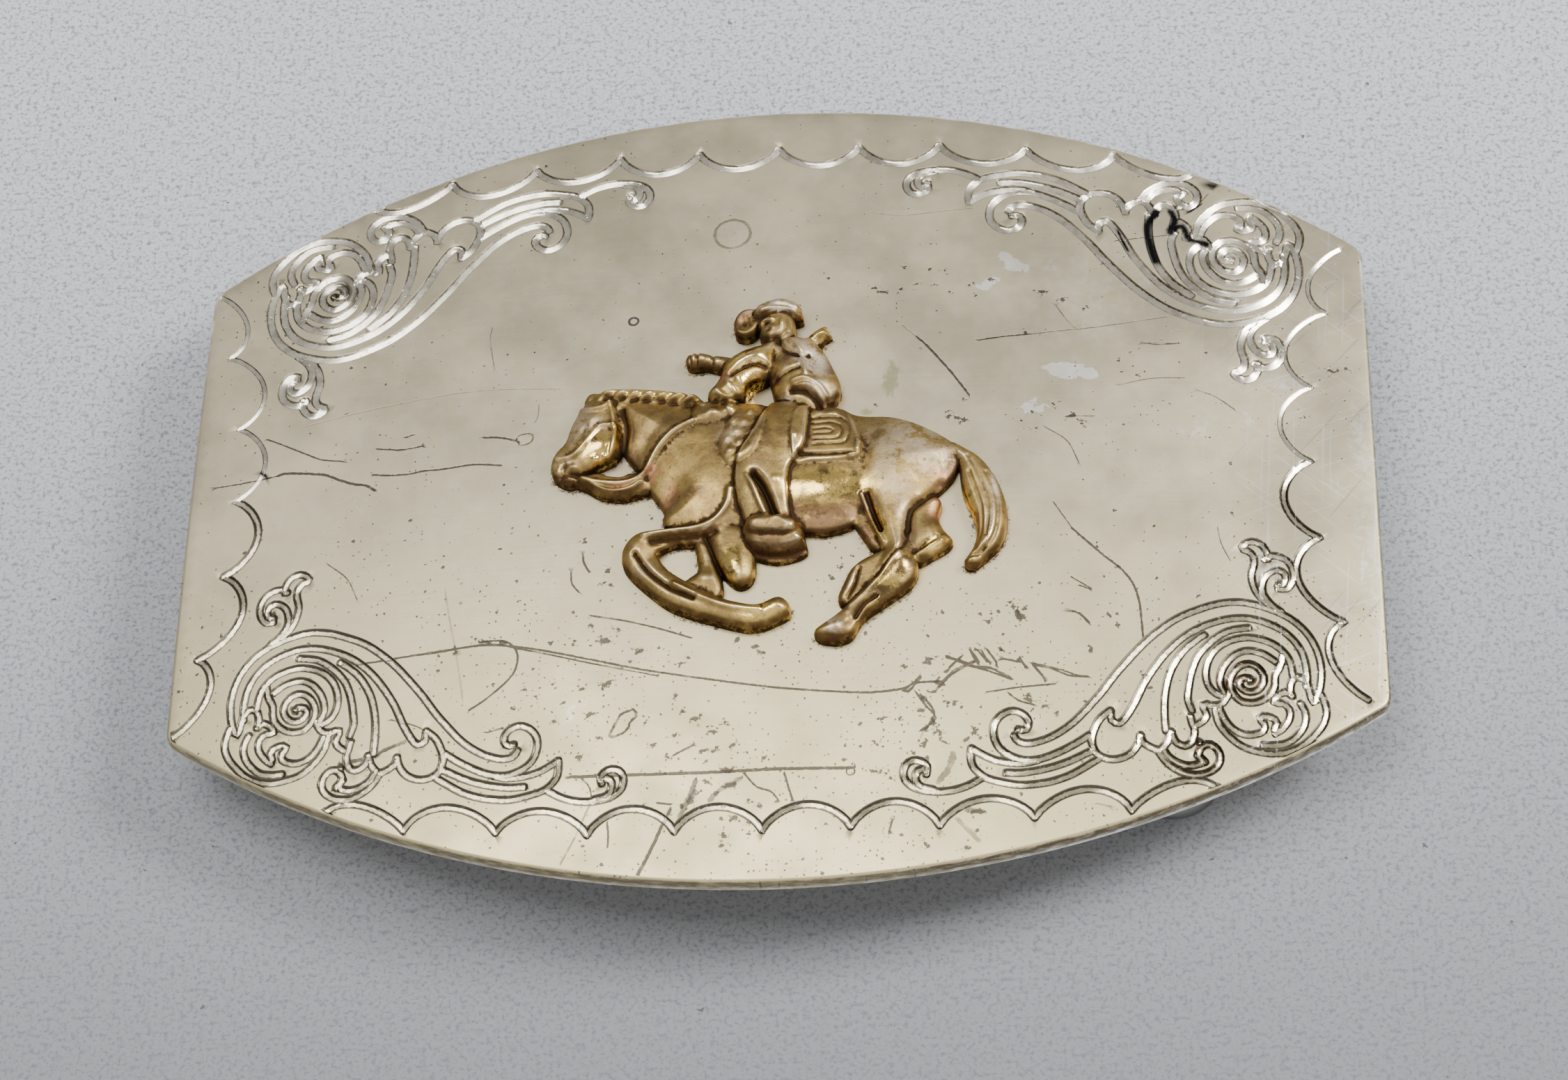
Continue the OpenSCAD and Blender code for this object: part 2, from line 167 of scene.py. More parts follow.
# Scratches, cracks and stained strokes of the finish, in millimetres. Columns: darkness, width, points.
SCRATCHES = [
    (0.8, 0.16, [-39.2, 5.3, -38.1, 4.75, -36.9, 4.1, -35.8, 3.5, -34.6, 2.9, -33, 2.6]),
    (1, 0.26, [-37.9, 1.9, -37.5, 2, -36.5, 1.9, -35.2, 1.7, -34.2, 1.5, -33.4, 1.1, -32.6, 0.7, -31.8, 0.4,
        -30.9, 0.2, -30.2, -0.3]),
    (0.6, 0.16, [-43, 1.4, -41.2, 1.5, -39.1, 1.7, -37.9, 1.9]),
    (0.9, 0.2, [-30.5, 1.1, -28.9, 0.9, -27.4, 0.9, -26.4, 1.05, -25.1, 1.05, -23.5, 1.2, -22.3, 1.25,
        -20.5, 1]),
    (0.75, 0.16, [-30.3, 3.4, -29, 3.2, -28.6, 3.15]),
    (0.85, 0.18, [-28.6, 3.1, -27.4, 3.2, -26.8, 3.3]),
    (0.7, 0.22, [-21.8, 3.6, -20.7, 3.5, -19.7, 3.2, -19.2, 3]),
    (0.5, 0.14, [-19.3, 3, -19.3, 3.5, -18.2, 3.65, -18.2, 2.9, -19, 2.65, -19.3, 3]),
    (0.8, 0.16, [-28.1, 4.2, -27.7, 4.35]),
    (0.25, 0.12, [-36.3, 6.1, -33.1, 6.7, -30, 7.2, -26.9, 7.6, -24.4, 7.85, -21.2, 7.9, -16.4, 7.55]),
    (0.35, 0.12, [-17.8, 6.1, -17.8, 5.2, -18, 4.7]),
    (0.75, 0.2, [-31.7, -14.9, -29.4, -15, -26.2, -14.7, -23, -14.4, -20.6, -14.3, -18.3, -14.6, -15.7, -15.2,
        -12.7, -16, -8, -17.2, 0, -18.7, 5.6, -19.3, 7.7, -19.4]),
    (0.62, 0.16, [-27.6, -14.8, -24.2, -14.6, -20.6, -14.2, -18.1, -14.8, -15.5, -15.5, -12.7, -16.3,
        -8, -17.5]),
    (0.88, 0.2, [-21.2, -14, -19.6, -14, -18.7, -14.5, -18.3, -15.4, -18.5, -16.6, -19.2, -17.5, -20.6, -18.7,
        -21.8, -19.5]),
    (0.55, 0.36, [-26.4, -21.6, -27.8, -22.1, -29.1, -22.7, -30.7, -22.9]),
    (0.25, 0.18, [-24.1, -9.6, -23.6, -12.1, -22.9, -15.2, -22.3, -18.5]),
    (1, 0.28, [-13.9, -25.2, -9.8, -25.25, -4.3, -25.3, 1, -25.2, 6.5, -25.25]),
    (0.8, 0.3, [-8.9, -32.9, -8, -31.1, -7.1, -29, -6.6, -28]),
    (0.45, 0.46, [-6, -28.8, -5.4, -27.4, -4.8, -25.9]),
    (0.4, 0.5, [-3.8, -27.4, -3, -26.6, -1.9, -26]),
    (0.38, 0.18, [-14.5, -31.8, -13.5, -29.8, -12.5, -27.4]),
    (0.75, 0.18, [-6.55, -23.9, -6, -23.6, -5.1, -23.15]),
    (0.88, 0.18, [-11.2, -28.8, -11.1, -29.7, -11.1, -30.7]),
    (0.62, 0.16, [-13.2, -25.3, -12.6, -26, -12.4, -26.8]),
    (0.75, 0.18, [-7.6, -27.5, -6.6, -27.65]),
    (0.75, 0.18, [-1.3, -25.5, -0.45, -26.5, 0.6, -26.9, 1, -27.4]),
    (0.75, 0.2, [1.65, -25.9, 1.9, -26.8, 2.2, -27.7]),
    (0.75, 0.22, [22.5, -6.2, 24.5, -8.2, 26.2, -9.8, 27.1, -11.7, 27.4, -15]),
    (0.5, 0.14, [21.1, -3.9, 22.5, -6.2]),
    (0.5, 0.12, [33.1, -6.1, 33.3, -7.3, 33.9, -8.7]),
    (1, 0.22, [7.7, -19.4, 9, -19.3, 10.2, -19.1, 11, -18.7, 12.9, -18.6]),
    (0.88, 0.2, [10.2, -19.2, 10.8, -18.7, 11.1, -18.4]),
    (0.88, 0.22, [11.1, -19.6, 11.7, -20.5, 12.4, -21.5, 11.4, -22.4]),
    (0.88, 0.2, [13.3, -16.6, 14.6, -17.3, 16.2, -17.8, 17.9, -18.5]),
    (0.75, 0.18, [14.9, -16.1, 15.2, -16.8, 15.5, -17.3]),
    (0.75, 0.18, [15.7, -16.1, 16, -16.7, 16.3, -17.1]),
    (0.75, 0.18, [16, -19.5, 18.5, -19.1, 21, -18.85]),
    (0.56, 0.18, [19.4, -17.2, 21, -17.6, 22.7, -18.2]),
    (0.69, 0.24, [12.7, -19, 13.7, -17.8, 15, -17.2]),
    (0.62, 0.16, [18.5, -17, 19, -17.5]),
    (0.62, 0.14, [22.3, -10.2, 23.8, -11.2, 22.9, -10.9]),
    (0.5, 0.14, [21.9, -12.8, 22.8, -13.2, 23.6, -14.1]),
    (0.35, 0.5, [13.7, -24.5, 13.2, -25.7]),
    (0.5, 0.3, [18.4, -13, 18.55, -13.8]),
    (0.75, 0.16, [15.7, 10.5, 17.5, 10.8, 19.4, 11]),
    (0.4, 0.12, [19.4, 11, 22, 11.35, 24.7, 11.7, 29.9, 12.7]),
    (0.35, 0.1, [28.1, 10.3, 30.4, 10.25]),
    (0.3, 0.1, [7.3, 23, 9.7, 22.6, 12.4, 22.9, 15.2, 23.2]),
    (0.9, 0.22, [11.1, 10.8, 11.9, 9.9, 13.6, 7.6, 14.95, 5.5]),
    (0.3, 0.12, [9.9, 12, 11.1, 10.8]),
    (0.62, 0.18, [-12.9, -12.4, -10.6, -12.9, -8.2, -13.6, -5.4, -14.6]),
    (0.35, 0.12, [-21.9, 13.8, -22, 12.6, -21.5, 9.9]),
    (0.62, 0.16, [-14.6, -8.6, -14.5, -9.6, -14, -10.3]),
    (0.5, 0.12, [20.6, 2.6, 22.2, 1.4, 23, -0.4]),
    (0.4, 0.12, [26.2, 6.4, 28.6, 7, 31, 7.1]),
    (0.5, 0.12, [-33.4, -6.4, -31.8, -7.8, -30.9, -9.6]),
    (0.5, 0.16, [-27.6, -19.8, -25.4, -20.6, -23.6, -22.3]),
    (0.75, 0.22, [14.89, -16.09, 15.56, -17.09]),
    (0.75, 0.2, [15.45, -16.1, 16.14, -17.1]),
    (0.75, 0.2, [16.13, -16.1, 16.79, -17.1]),
    (1, 0.24, [13.2, -16.7, 14.21, -17, 15.22, -17.46]),
    (0.94, 0.22, [13.43, -17.49, 14.26, -16.66]),
    (0.55, 0.3, [12.52, -19.16, 13.42, -18.18, 14.43, -17.45, 15.45, -16.97]),
    (0.62, 0.26, [15.33, -17.46, 16.45, -17.62, 17.78, -18.34]),
    (0.56, 0.22, [17.35, -16.85, 18.47, -17.11]),
    (0.62, 0.22, [18.47, -16.73, 18.91, -17.6]),
    (0.62, 0.24, [19.4, -17.28, 20.19, -18.34]),
    (0.62, 0.2, [19.58, -17.38, 20.69, -17.6, 22.02, -18.17, 23.36, -18.26]),
    (1, 0.24, [10.13, -19.32, 10.51, -19.33, 11.07, -18.55]),
    (0.75, 0.22, [11.29, -19.58, 11.96, -20.38, 12.29, -21.23, 11.73, -22.32]),
    (0.62, 0.2, [21.89, -12.98, 22.83, -13.17, 23.54, -13.93]),
    (0.62, 0.2, [17.76, -19.69, 18.42, -20.18, 19.42, -20.48]),
    (0.4, 0.5, [13.61, -24.26, 13.26, -25.45, 12.59, -26.4]),
    (0.35, 0.4, [13.9, -29.24, 14.55, -29.94, 15.42, -30.88]),
    (0.4, 0.5, [14.56, -28.54, 15.77, -28.69]),
    (0.56, 0.2, [9.27, -29.3, 9.05, -30.12]),
    (0.5, 0.18, [23.8, -28.07, 24.67, -28.29]),
    (0.5, 0.14, [28.12, 10.2, 29.29, 10.13, 30.58, 10.22]),
    (0.45, 0.14, [32.07, 5.97, 33.33, 5.44, 34.67, 4.36]),
    (0.5, 0.12, [26.23, 19.93, 28.38, 20.26, 30.29, 20.54]),
    (0.6, 0.14, [33.4, 24.64, 32.78, 23.84, 32.03, 22.89]),
    (0.4, 0.12, [21.62, 13.58, 22.31, 12.41, 23, 11.54]),
    (0.4, 0.14, [22.41, 3.62, 24.14, 3.57]),
    (0.75, 0.2, [-13.77, -7.15, -13.69, -7.81, -13.43, -8.43, -13.18, -8.76]),
    (0.62, 0.24, [-9.53, -20.12, -9.24, -20.62, -9.73, -21.09, -9.94, -21.69, -10.61, -22.14, -11.29, -22.23,
        -11.08, -21.75, -10.76, -21.04, -10.39, -20.44, -9.53, -20.12]),
    (0.69, 0.18, [-20.29, -21.33, -19.15, -21.04]),
]

# Black stain that has run into the engraving. Columns: width, points.
BLACK_STAINS = [
    (0.85, [29.4, 22.9, 28.7, 21.6, 28.75, 20, 29.2, 18]),
    (0.8, [30.5, 22.9, 30.8, 22, 30.3, 20.8, 31.3, 21.5, 31.9, 20.2, 33.1, 19.8]),
    (1.1, [33.5, 25.6, 34, 25.45]),
    (0.5, [33.9, 26.5, 34.6, 26.2, 35.1, 25.7]),
    (0.3, [32, 22.9, 32.9, 23.7]),
    (0.34, [26.4, 21, 26.7, 20.1, 27.1, 19.1]),
    (0.5, [-39.4, 2.3, -38.9, 1.8]),
]

# Rings that etched into the finish. Columns: darkness, width, x, y, radius.
ETCHED_RINGS = [(0.36, 0.3, -3.4, 21.4, 1.4), (0.75, 0.22, -10.8, 13.4, 0.36), (0.6, 0.16, 6.3, -25.5, 0.3)]

# Flecks where the finish has lifted, in millimetres. Columns: x, y, length, turn.
FLECKS = [
    (18.5, -13.3, 0.94, -75), (11.8, -14.9, 0.19, 0), (16.3, -13.8, 0.23, 0), (25, -13.3, 0.19, 0),
    (25.5, -14.1, 0.26, 20), (18.9, -12.8, 0.19, 0), (23.6, -16.1, 0.48, 85), (12.1, -16.8, 0.26, 0),
    (11.9, -17.1, 0.42, 0), (10.1, -17.4, 0.17, 0), (13, -18.9, 0.23, 0), (11.6, -20, 0.64, -70),
    (11.3, -20.9, 0.48, 0), (12.2, -21.6, 0.6, -60), (11.7, -22.3, 0.48, 45), (11.6, -23.5, 0.56, 70),
    (12.7, -22.7, 0.42, 60), (13.1, -23.4, 0.34, -40), (13.3, -20.3, 0.3, 20), (13.7, -20.4, 0.26, 0),
    (12.3, -19.4, 0.34, 0), (15.2, -22.6, 0.42, 85), (14.7, -23.1, 0.34, 60), (11.7, -24.7, 0.42, 80),
    (10.8, -24.2, 0.26, 0), (9.2, -26.1, 0.26, -45), (8.2, -23.5, 0.19, 0), (8.5, -25.5, 0.23, 0),
    (7.9, -25.5, 0.23, 0), (11.6, -31.1, 0.3, -60), (15.3, -30.1, 0.3, 45), (14.5, -31.4, 0.34, 0),
    (9.1, -30.2, 0.26, 0), (15.3, -28.7, 0.9, 0), (19.1, -20.1, 0.6, -40), (20.2, -20.6, 0.42, 10),
    (19.4, -20.8, 0.19, 0), (21.1, -21.1, 0.19, 0), (27.4, -18.2, 0.56, -40), (27, -19.8, 0.23, 0),
    (27.8, -19.1, 0.37, 30), (23.1, -20.2, 0.26, 0), (8.6, -21.5, 0.17, 0), (9.9, -21.4, 0.17, 0),
    (31.4, -11.7, 0.26, 60), (12.5, -18.7, 0.48, 70), (13.2, -17.8, 0.42, 40), (19.2, 11.2, 0.31, -45),
    (25.2, 17.8, 0.36, 80), (7.7, 15.6, 0.36, 0), (8.4, 15.2, 0.44, 10), (9.7, 15.4, 0.22, 0),
    (10.1, 17.6, 0.16, 0), (11.9, 17.3, 0.16, 0), (11, 15.9, 0.17, 0), (12.3, 15.8, 0.16, 0),
    (13.5, 15.1, 0.16, 0), (15, 15.7, 0.17, 0), (16.6, 16.3, 0.16, 0), (13.1, 17.1, 0.16, 0),
    (20.5, 15, 0.61, 0), (22.1, 14.2, 0.44, 0), (23.7, 13.4, 0.16, 0), (26.2, 8.6, 0.16, 0),
    (27.5, 7.3, 0.16, 0), (14.5, 5.2, 0.16, 0), (22.6, 3.6, 0.73, 0), (23.3, 2.9, 0.31, 0),
    (18.8, 3.2, 0.24, 0), (19.6, 4, 0.17, 30), (21.3, 4.6, 0.17, 60), (19.9, 2.5, 0.19, 0),
    (42, 8.1, 0.46, -25), (43.2, 8.3, 0.24, 0), (39.9, 3.8, 0.16, 0), (15.5, 14.7, 0.17, 0),
    (16.8, 21.9, 0.16, 0), (13.5, 3.7, 0.27, -10), (14.5, 3.3, 0.34, -10), (7.9, 4.8, 0.17, 0),
    (-23, -14.7, 0.23, 0), (-21.6, -13.7, 0.23, 0), (-20.8, -14, 0.62, 0), (-19.5, -14.2, 0.54, 0),
    (-11.7, -14.5, 0.7, -30), (-11.6, -18, 0.86, 20), (-10.9, -13.6, 0.23, 0), (-9.2, -15.5, 0.54, 30),
    (-7.8, -15.3, 0.23, 0), (-6.1, -16.6, 0.2, 0), (-4.5, -13.4, 0.23, 0), (-3.6, -13.9, 0.31, 0),
    (-2, -14.8, 0.39, 45), (-0.7, -15.5, 0.54, 0), (-0.1, -16, 0.31, 0), (-17.7, -18.1, 0.23, 0),
    (-16.8, -18.7, 0.2, 0), (-15.6, -17.8, 0.23, 0), (-14.7, -19.3, 0.31, 40), (-13.4, -18.3, 0.39, 20),
    (-12.8, -20.4, 0.54, 60), (-6.5, -19.2, 0.2, 0), (-6, -20.5, 0.23, 0), (-5, -21.1, 0.39, -70),
    (-4.6, -20.8, 0.23, 0), (-3.7, -22.1, 0.47, 0), (-2.8, -21.4, 0.23, 0), (-6.4, -22.3, 0.39, 60),
    (-4.3, -23.6, 0.31, 0), (-3.4, -23.4, 0.23, 0), (-4.1, -24.4, 0.31, 0), (-8.1, -23, 0.31, 0),
    (-12, -22.3, 0.23, 0), (-5.9, -25.1, 0.23, 0), (-2.6, -25.2, 0.94, 0), (-2.3, -26.3, 0.86, 10),
    (-4, -26, 0.31, 0), (-3.3, -26.9, 0.47, 30), (-5.2, -27.3, 1.16, 65), (-5.8, -27.9, 0.39, 60),
    (-8.6, -27.6, 0.2, 0), (-2.8, -27.9, 0.31, 0), (-2, -28.8, 0.47, 0), (-1, -29.2, 0.39, 0),
    (-1, -27.5, 0.23, 0), (-0.3, -28, 0.23, 0), (-2.8, -30.1, 0.54, 85), (-2.9, -30.9, 0.47, 0),
    (-0.9, -30.1, 0.31, 0), (0, -29.7, 0.23, 0), (-6.9, -24, 0.2, 0), (-8.6, -21.2, 0.2, 0),
    (-2.2, -23.2, 0.2, 0), (0.1, -24.3, 0.2, 0), (-15.4, -20.8, 0.2, 0), (-18.4, -19.6, 0.2, 0),
    (-13.4, -23.7, 0.2, 0), (-11.9, -8.7, 0.48, 60), (-11.6, -9.9, 0.37, -50), (-12.1, -9.7, 0.23, 0),
    (-12.9, -13.2, 0.23, 0), (-12, -14.6, 0.6, -20), (-14.1, -14.4, 0.26, 0), (-15.9, -14.4, 0.23, 0),
    (18.3, -13.3, 0.64, -70), (17.8, -12.3, 0.17, 0), (16.3, -13.9, 0.26, 60), (11.9, -15, 0.19, 0),
    (14, 3.5, 0.36, -20), (-13.7, -6, 0.17, 0), (5.5, -9.2, 0.37, 60), (4.9, -10, 0.3, 80),
    (6.4, -8.3, 0.23, 0), (15.3, -16.1, 0.3, 70), (17.1, -16.1, 0.37, 80)
]

# Soft patches of the finish by kind, in millimetres. Columns: x, y, half length, half width, turn, strength.
PATCHES = {
    "haze": [(21, 17.6, 1.4, 0.25, 0, 0.6), (-3.4, 21.4, 1.5, 1.4, 0, 0.35), (35.5, 3.6, 1, 1.1, 0, 0.6),
        (38.9, 6.8, 2.2, 0.6, 10, 0.7), (44, 2.4, 1.2, 4.4, 0, 0.6), (26, 15, 15, 9, 20, 0.3),
        (-14, -20, 1.6, 0.45, 42, 0.9), (31.6, 2.4, 2.2, 1.2, 30, 0.5), (43.9, -8, 1, 8, 2, 0.55),
        (41, -12, 1.6, 3.4, 10, 0.4)],
    "pale": [(22.8, 7.6, 2.3, 0.7, -8, 1), (20, 4.5, 1.5, 0.7, 10, 0.9), (16.3, 15.8, 1.5, 0.5, 20, 0.8),
        (18.3, 17.7, 1.8, 0.8, -35, 0.8)],
    "green": [(9, 7, 0.55, 1.9, 2, 1), (7.4, 4.2, 0.9, 0.5, 0, 0.5)],
    "brown": [(34.6, -18.4, 2, 1.7, 0, 1), (31.2, -24.4, 2, 1.6, 20, 1), (-34.6, 18.4, 1.5, 1.4, 0, 0.45),
        (18, 22.4, 1, 0.8, 0, 0.4)],
    "stain": [(-10, -21, 1.1, 0.6, 60, 0.25), (-4.8, -21.4, 1.1, 0.6, 20, 0.4),
        (-11.2, -17, 2.2, 0.7, 30, 0.3), (27.6, -2.8, 2.8, 0.9, 50, 0.28), (14.4, -18.4, 2.6, 0.9, 40, 0.22),
        (20.2, -18.2, 3.4, 0.8, -8, 0.25), (-18.8, 3.15, 0.5, 0.35, 0, 0.35)],
}

# The casting's forms, from the back to the front, in millimetres.
# how: "stand" rises from the plate, "blend" melts into what is there, "lay" adds to what is there.
# Columns: name, how, height at its edge, height at its crown, width of its shoulder, outline.
FORMS = [
    ("rein web", "stand", 0.9, 1.3, 0.6, [-14.7, -1.4, -13.6, -2.1, -12.6, -2.75, -11, -3.1, -9.5, -2.8,
        -8.4, -2.4, -8.6, -1, -10.2, -0.9, -11.8, -0.9, -13.2, -0.8]),
    ("far arm", "stand", 0.9, 1.5, 0.7, [-2.4, 7.4, -4, 7.9, -5, 8.2, -5.6, 8.1, -6.3, 8.3, -6.5, 9,
        -6.2, 9.5, -5.4, 9.55, -4.4, 9.3, -3, 9, -2, 8.6]),
    ("tail", "stand", 0.9, 1.7, 1.1, [13.6, 0.9, 14.9, 0.2, 15.8, -0.5, 16.8, -2, 17.45, -3.6, 17.75, -5.2,
        17.6, -7, 17, -8.2, 16.2, -9, 15.4, -9.75, 14.8, -9.8, 14.55, -9.3, 15.2, -8.2, 15.5, -7, 15.25, -5.6,
        14.7, -4.3, 14.35, -2.8, 14.2, -1.2, 13.6, -0.4]),
    ("far foreleg", "stand", 0.9, 1.7, 1, [-4.5, -6.4, -4.2, -7.6, -3.5, -9.4, -2.7, -10.5, -1.9, -11,
        -1.15, -10.7, -0.75, -9.8, -0.8, -8.2, -1.1, -6.2, -2.8, -5.6]),
    ("far pastern", "stand", 0.8, 1.3, 0.7, [-5.3, -7.2, -3.9, -7.2, -3.6, -8.8, -3.2, -10.2, -3.2, -11.6,
        -4.6, -12, -6, -11.4, -5.8, -10.2, -5, -9.4]),
    ("far thigh", "stand", 0.7, 1.1, 0.5, [6.2, -5.2, 6.6, -6.2, 7.2, -7.2, 7.8, -8.1, 9, -8.4, 9.2, -6.6,
        8.2, -4.6, 7, -3.6]),
    ("far hoof", "stand", 0.8, 1.4, 0.7, [8.9, -8.4, 7.6, -8.7, 6.4, -9.6, 5.8, -10.8, 5.35, -12.1,
        5.7, -12.7, 7.2, -12.4, 8.6, -10.6]),
    ("far hock", "stand", 0.9, 1.6, 1, [10.4, -4.4, 11.8, -3.6, 12.9, -4.2, 12.7, -5.6, 13.1, -6.7,
        13.75, -7.5, 13.4, -8.2, 12.3, -8.9, 11.2, -9.5, 10.6, -8.8, 10.3, -6.6]),
    ("body", "stand", 1, 2.35, 4, [-12.4, 5.9, -10, 6, -8.3, 5.8, -6.8, 5.3, -5.2, 4.9, -2, 4.6, 2, 4.3, 5, 4,
        6.8, 3.3, 9, 3.15, 10.6, 2.7, 12.1, 1.95, 13.4, 1.1, 14.2, 0.3, 14.2, -1, 13.8, -2.2, 12.9, -3.3,
        11.6, -4.4, 10, -5.6, 8.4, -5.6, 7.1, -4.9, 6.4, -6.1, 4.5, -6.7, 2.5, -6.6, 0, -6.5, -3, -6.6,
        -5.5, -6.4, -7.6, -5.7, -7.7, -4.4, -8.5, -3.1, -9.3, -1.8, -9.9, -0.6, -10.7, 0.5, -11.4, 1.8,
        -12.2, 3.6]),
    ("haunch", "blend", 1.1, 2.3, 3.2, [7.2, 1.6, 9.4, 2.4, 11.6, 1.6, 13.3, 0.6, 13.9, -0.8, 13.3, -2.4,
        12.2, -3.8, 10.6, -5.2, 8.8, -5.4, 7.4, -3.6, 6.8, -1.2]),
    ("near hind leg", "blend", 1.15, 2, 1.35, [7, -2.6, 7.6, -4.6, 8.2, -6.6, 8.65, -8.2, 8.3, -9.6, 7.6, -11,
        6.6, -12.3, 5.2, -13.6, 3.8, -14.7, 3.7, -15.2, 4.3, -15.6, 5.5, -15.7, 6.4, -15.3, 7, -14.2,
        7.8, -13.4, 9.2, -12.4, 10.6, -11.3, 11.2, -10.2, 11.1, -8.9, 10.6, -7.6, 10.5, -6.3, 11.1, -5.2,
        12, -4, 11.4, -2, 9, -1.4]),
    ("forearm", "blend", 1.15, 2, 1.2, [-2.4, -3.6, -3.2, -5, -5, -5.8, -8, -6, -9.6, -6.3, -10.55, -7.4,
        -10.6, -8.7, -9.8, -9.6, -8.4, -9, -7.9, -7.9, -6.8, -7.3, -4.8, -7.3, -3.2, -6.9, -1.9, -5.4]),
    ("near cannon", "blend", 1.15, 1.9, 1.1, [-10.6, -8.2, -10.3, -9.4, -8.6, -11.2, -6.8, -12.6, -4, -13.7,
        -1, -14.5, 1.1, -13.9, 1.9, -13.2, 1.6, -12.3, 0.9, -12, -0.5, -12.55, -2, -12.3, -3.2, -11.9,
        -4.6, -11.2, -6, -10.3, -7.2, -9.4, -8, -8.3, -9.2, -7.2]),
    ("ear", "stand", 1.1, 1.7, 0.5, [-14.1, 5.2, -13.95, 5.95, -13.5, 6.25, -12.8, 6.1, -12.4, 5.4,
        -13.2, 4.8]),
    ("head", "stand", 1.15, 2.15, 1.7, [-12.6, 5.9, -13.6, 5.7, -14.3, 4.9, -15, 3.4, -15.4, 2, -16.1, 1.1,
        -16.4, 0, -16.15, -1, -15.4, -1.6, -14.6, -1.75, -14.2, -1.2, -13.4, -0.7, -12.6, -0.3, -11.6, 0.2,
        -11, 1.2, -10.8, 2.6, -11.1, 4.2, -11.7, 5.5]),
    ("mane", "lay", 0, 0.35, 0.4, [-13, 6.2, -12.6, 5.5, -11, 5.3, -9.5, 5, -8, 4.8, -6.5, 4.5, -5.2, 4.4,
        -5.1, 5.1, -6.2, 5.55, -7.2, 5.95, -8.5, 6.25, -10, 6.45, -11.5, 6.45]),
    ("mane edge", "stand", 1, 1.6, 0.5, [-13, 6.1, -12.6, 5.2, -9.5, 5, -6.5, 4.4, -5.2, 4.3, -5, 5.1,
        -6.2, 5.6, -7.2, 5.95, -8.5, 6.25, -10, 6.45, -11.5, 6.5, -12.6, 6.5]),
    ("blanket", "lay", 0, 0.28, 0.3, [2.2, 3.4, 5.4, 3.9, 6.4, 2.8, 6.9, 1.2, 7.05, 0, 6.6, -1.15, 3.6, -1.4,
        2, -1.2]),
    ("fender", "lay", 0, 0.35, 0.6, [-3.2, 4.6, -2.9, 3, -3.2, 1.8, -3.6, 0.2, -3, -1.3, -2.2, -1.5,
        -0.6, -0.4, 0, 3, -0.6, 4.6]),
    ("pommel", "lay", 0, 0.55, 0.8, [-5.7, 4.2, -5.2, 4.9, -3.8, 5.2, -2.6, 4.8, -2.4, 3.6, -3.2, 2.9,
        -4.8, 2.5, -5.7, 3]),
    ("boot sole", "stand", 0.7, 0.8, 0.3, [-1.25, -6.6, -1.05, -8.3, 0.4, -8.95, 1.8, -8.85, 3, -8.3,
        2.95, -7.4, 2.4, -6.6]),
    ("boot", "stand", 2.1, 2.6, 0.7, [-1.2, -6.2, -1.05, -7.8, 0.4, -8.3, 1.8, -8.25, 2.7, -7.8, 2.65, -7.2,
        2.3, -6.2]),
    ("leg", "lay", 0.35, 0.95, 1.6, [0.4, 4.8, -0.4, 3.2, -1.1, 1.3, -2.1, -0.6, -2.35, -2.4, -2.1, -4.4,
        -1.5, -6.2, -1.1, -7.2, 0.6, -7.5, 2.4, -7.2, 1.9, -5.4, 1.75, -3.4, 1.9, -1.8, 2.9, -0.2, 3.1, 1.4,
        3.1, 4.4, 2.4, 5.4]),
    ("neck cloth", "stand", 0.9, 1.5, 0.5, [2.3, 9.9, 3, 10.8, 3.6, 11.3, 4.3, 11.6, 4.15, 11.1, 4.65, 10.7,
        4.1, 10.3, 3.7, 9.8, 3, 9.4, 2.4, 9.5]),
    ("rider's head", "stand", 1.5, 2.5, 1, [-0.75, 11.9, -1, 11.35, -0.75, 11.05, -0.85, 10.6, -0.5, 10.1,
        0.1, 9.6, 1.2, 9.6, 1.8, 10.6, 1.8, 11.9, 1.2, 12.6, -0.2, 12.6]),
    ("torso", "stand", 1.5, 2.9, 2.3, [-0.2, 9.6, 1, 10.3, 2.6, 10.2, 3.9, 9.2, 4.9, 7.2, 5.4, 5.7, 5, 4.6,
        3.6, 3.4, 2, 3.6, 0.6, 4.6, 0.1, 6, -0.2, 8]),
    ("near arm", "stand", 1.7, 2.95, 1.4, [0.6, 9.9, -0.8, 9.5, -2.2, 9, -3.3, 8, -3.9, 6.4, -4.6, 5.4,
        -4.4, 4.6, -3.2, 4.4, -2, 4.9, -1.4, 5.8, -0.7, 6.3, -0.1, 6.7, 0.5, 7.8]),
    ("hat brim", "stand", 1.3, 1.85, 0.35, [-2.85, 11.4, -2.8, 12.4, -2.2, 13.1, -1.3, 13.2, 0.2, 13.1,
        1.4, 12.9, 2.4, 12.5, 2.3, 12, 1.2, 11.9, 0, 11.9, -0.8, 11.6, -1.2, 10.9, -1.9, 10.6, -2.6, 10.8]),
    ("hat crown", "stand", 1.7, 2.6, 0.8, [-1.4, 12.2, -1.2, 13.1, -0.2, 13.65, 0.9, 13.8, 1.9, 13.4,
        2.35, 12.8, 2.1, 12.35, 0.9, 12.1, -0.5, 11.95]),
]

# Places where the plate shows through the casting.
HOLES = [
    [-12.3, -0.95, -12, -0.35, -11.3, 0.25, -10.6, -0.1, -10.4, -0.7, -11, -1.25],
    [-7.8, -8.6, -7.5, -7.8, -6.5, -7.5, -5.4, -7.6, -5.1, -8.5, -5.3, -9.5, -6, -10.1, -7, -9.5],
    [-1.3, 5.3, -0.8, 6.1, -0.2, 6.2, -0.05, 5.3, -0.4, 4.6],
]

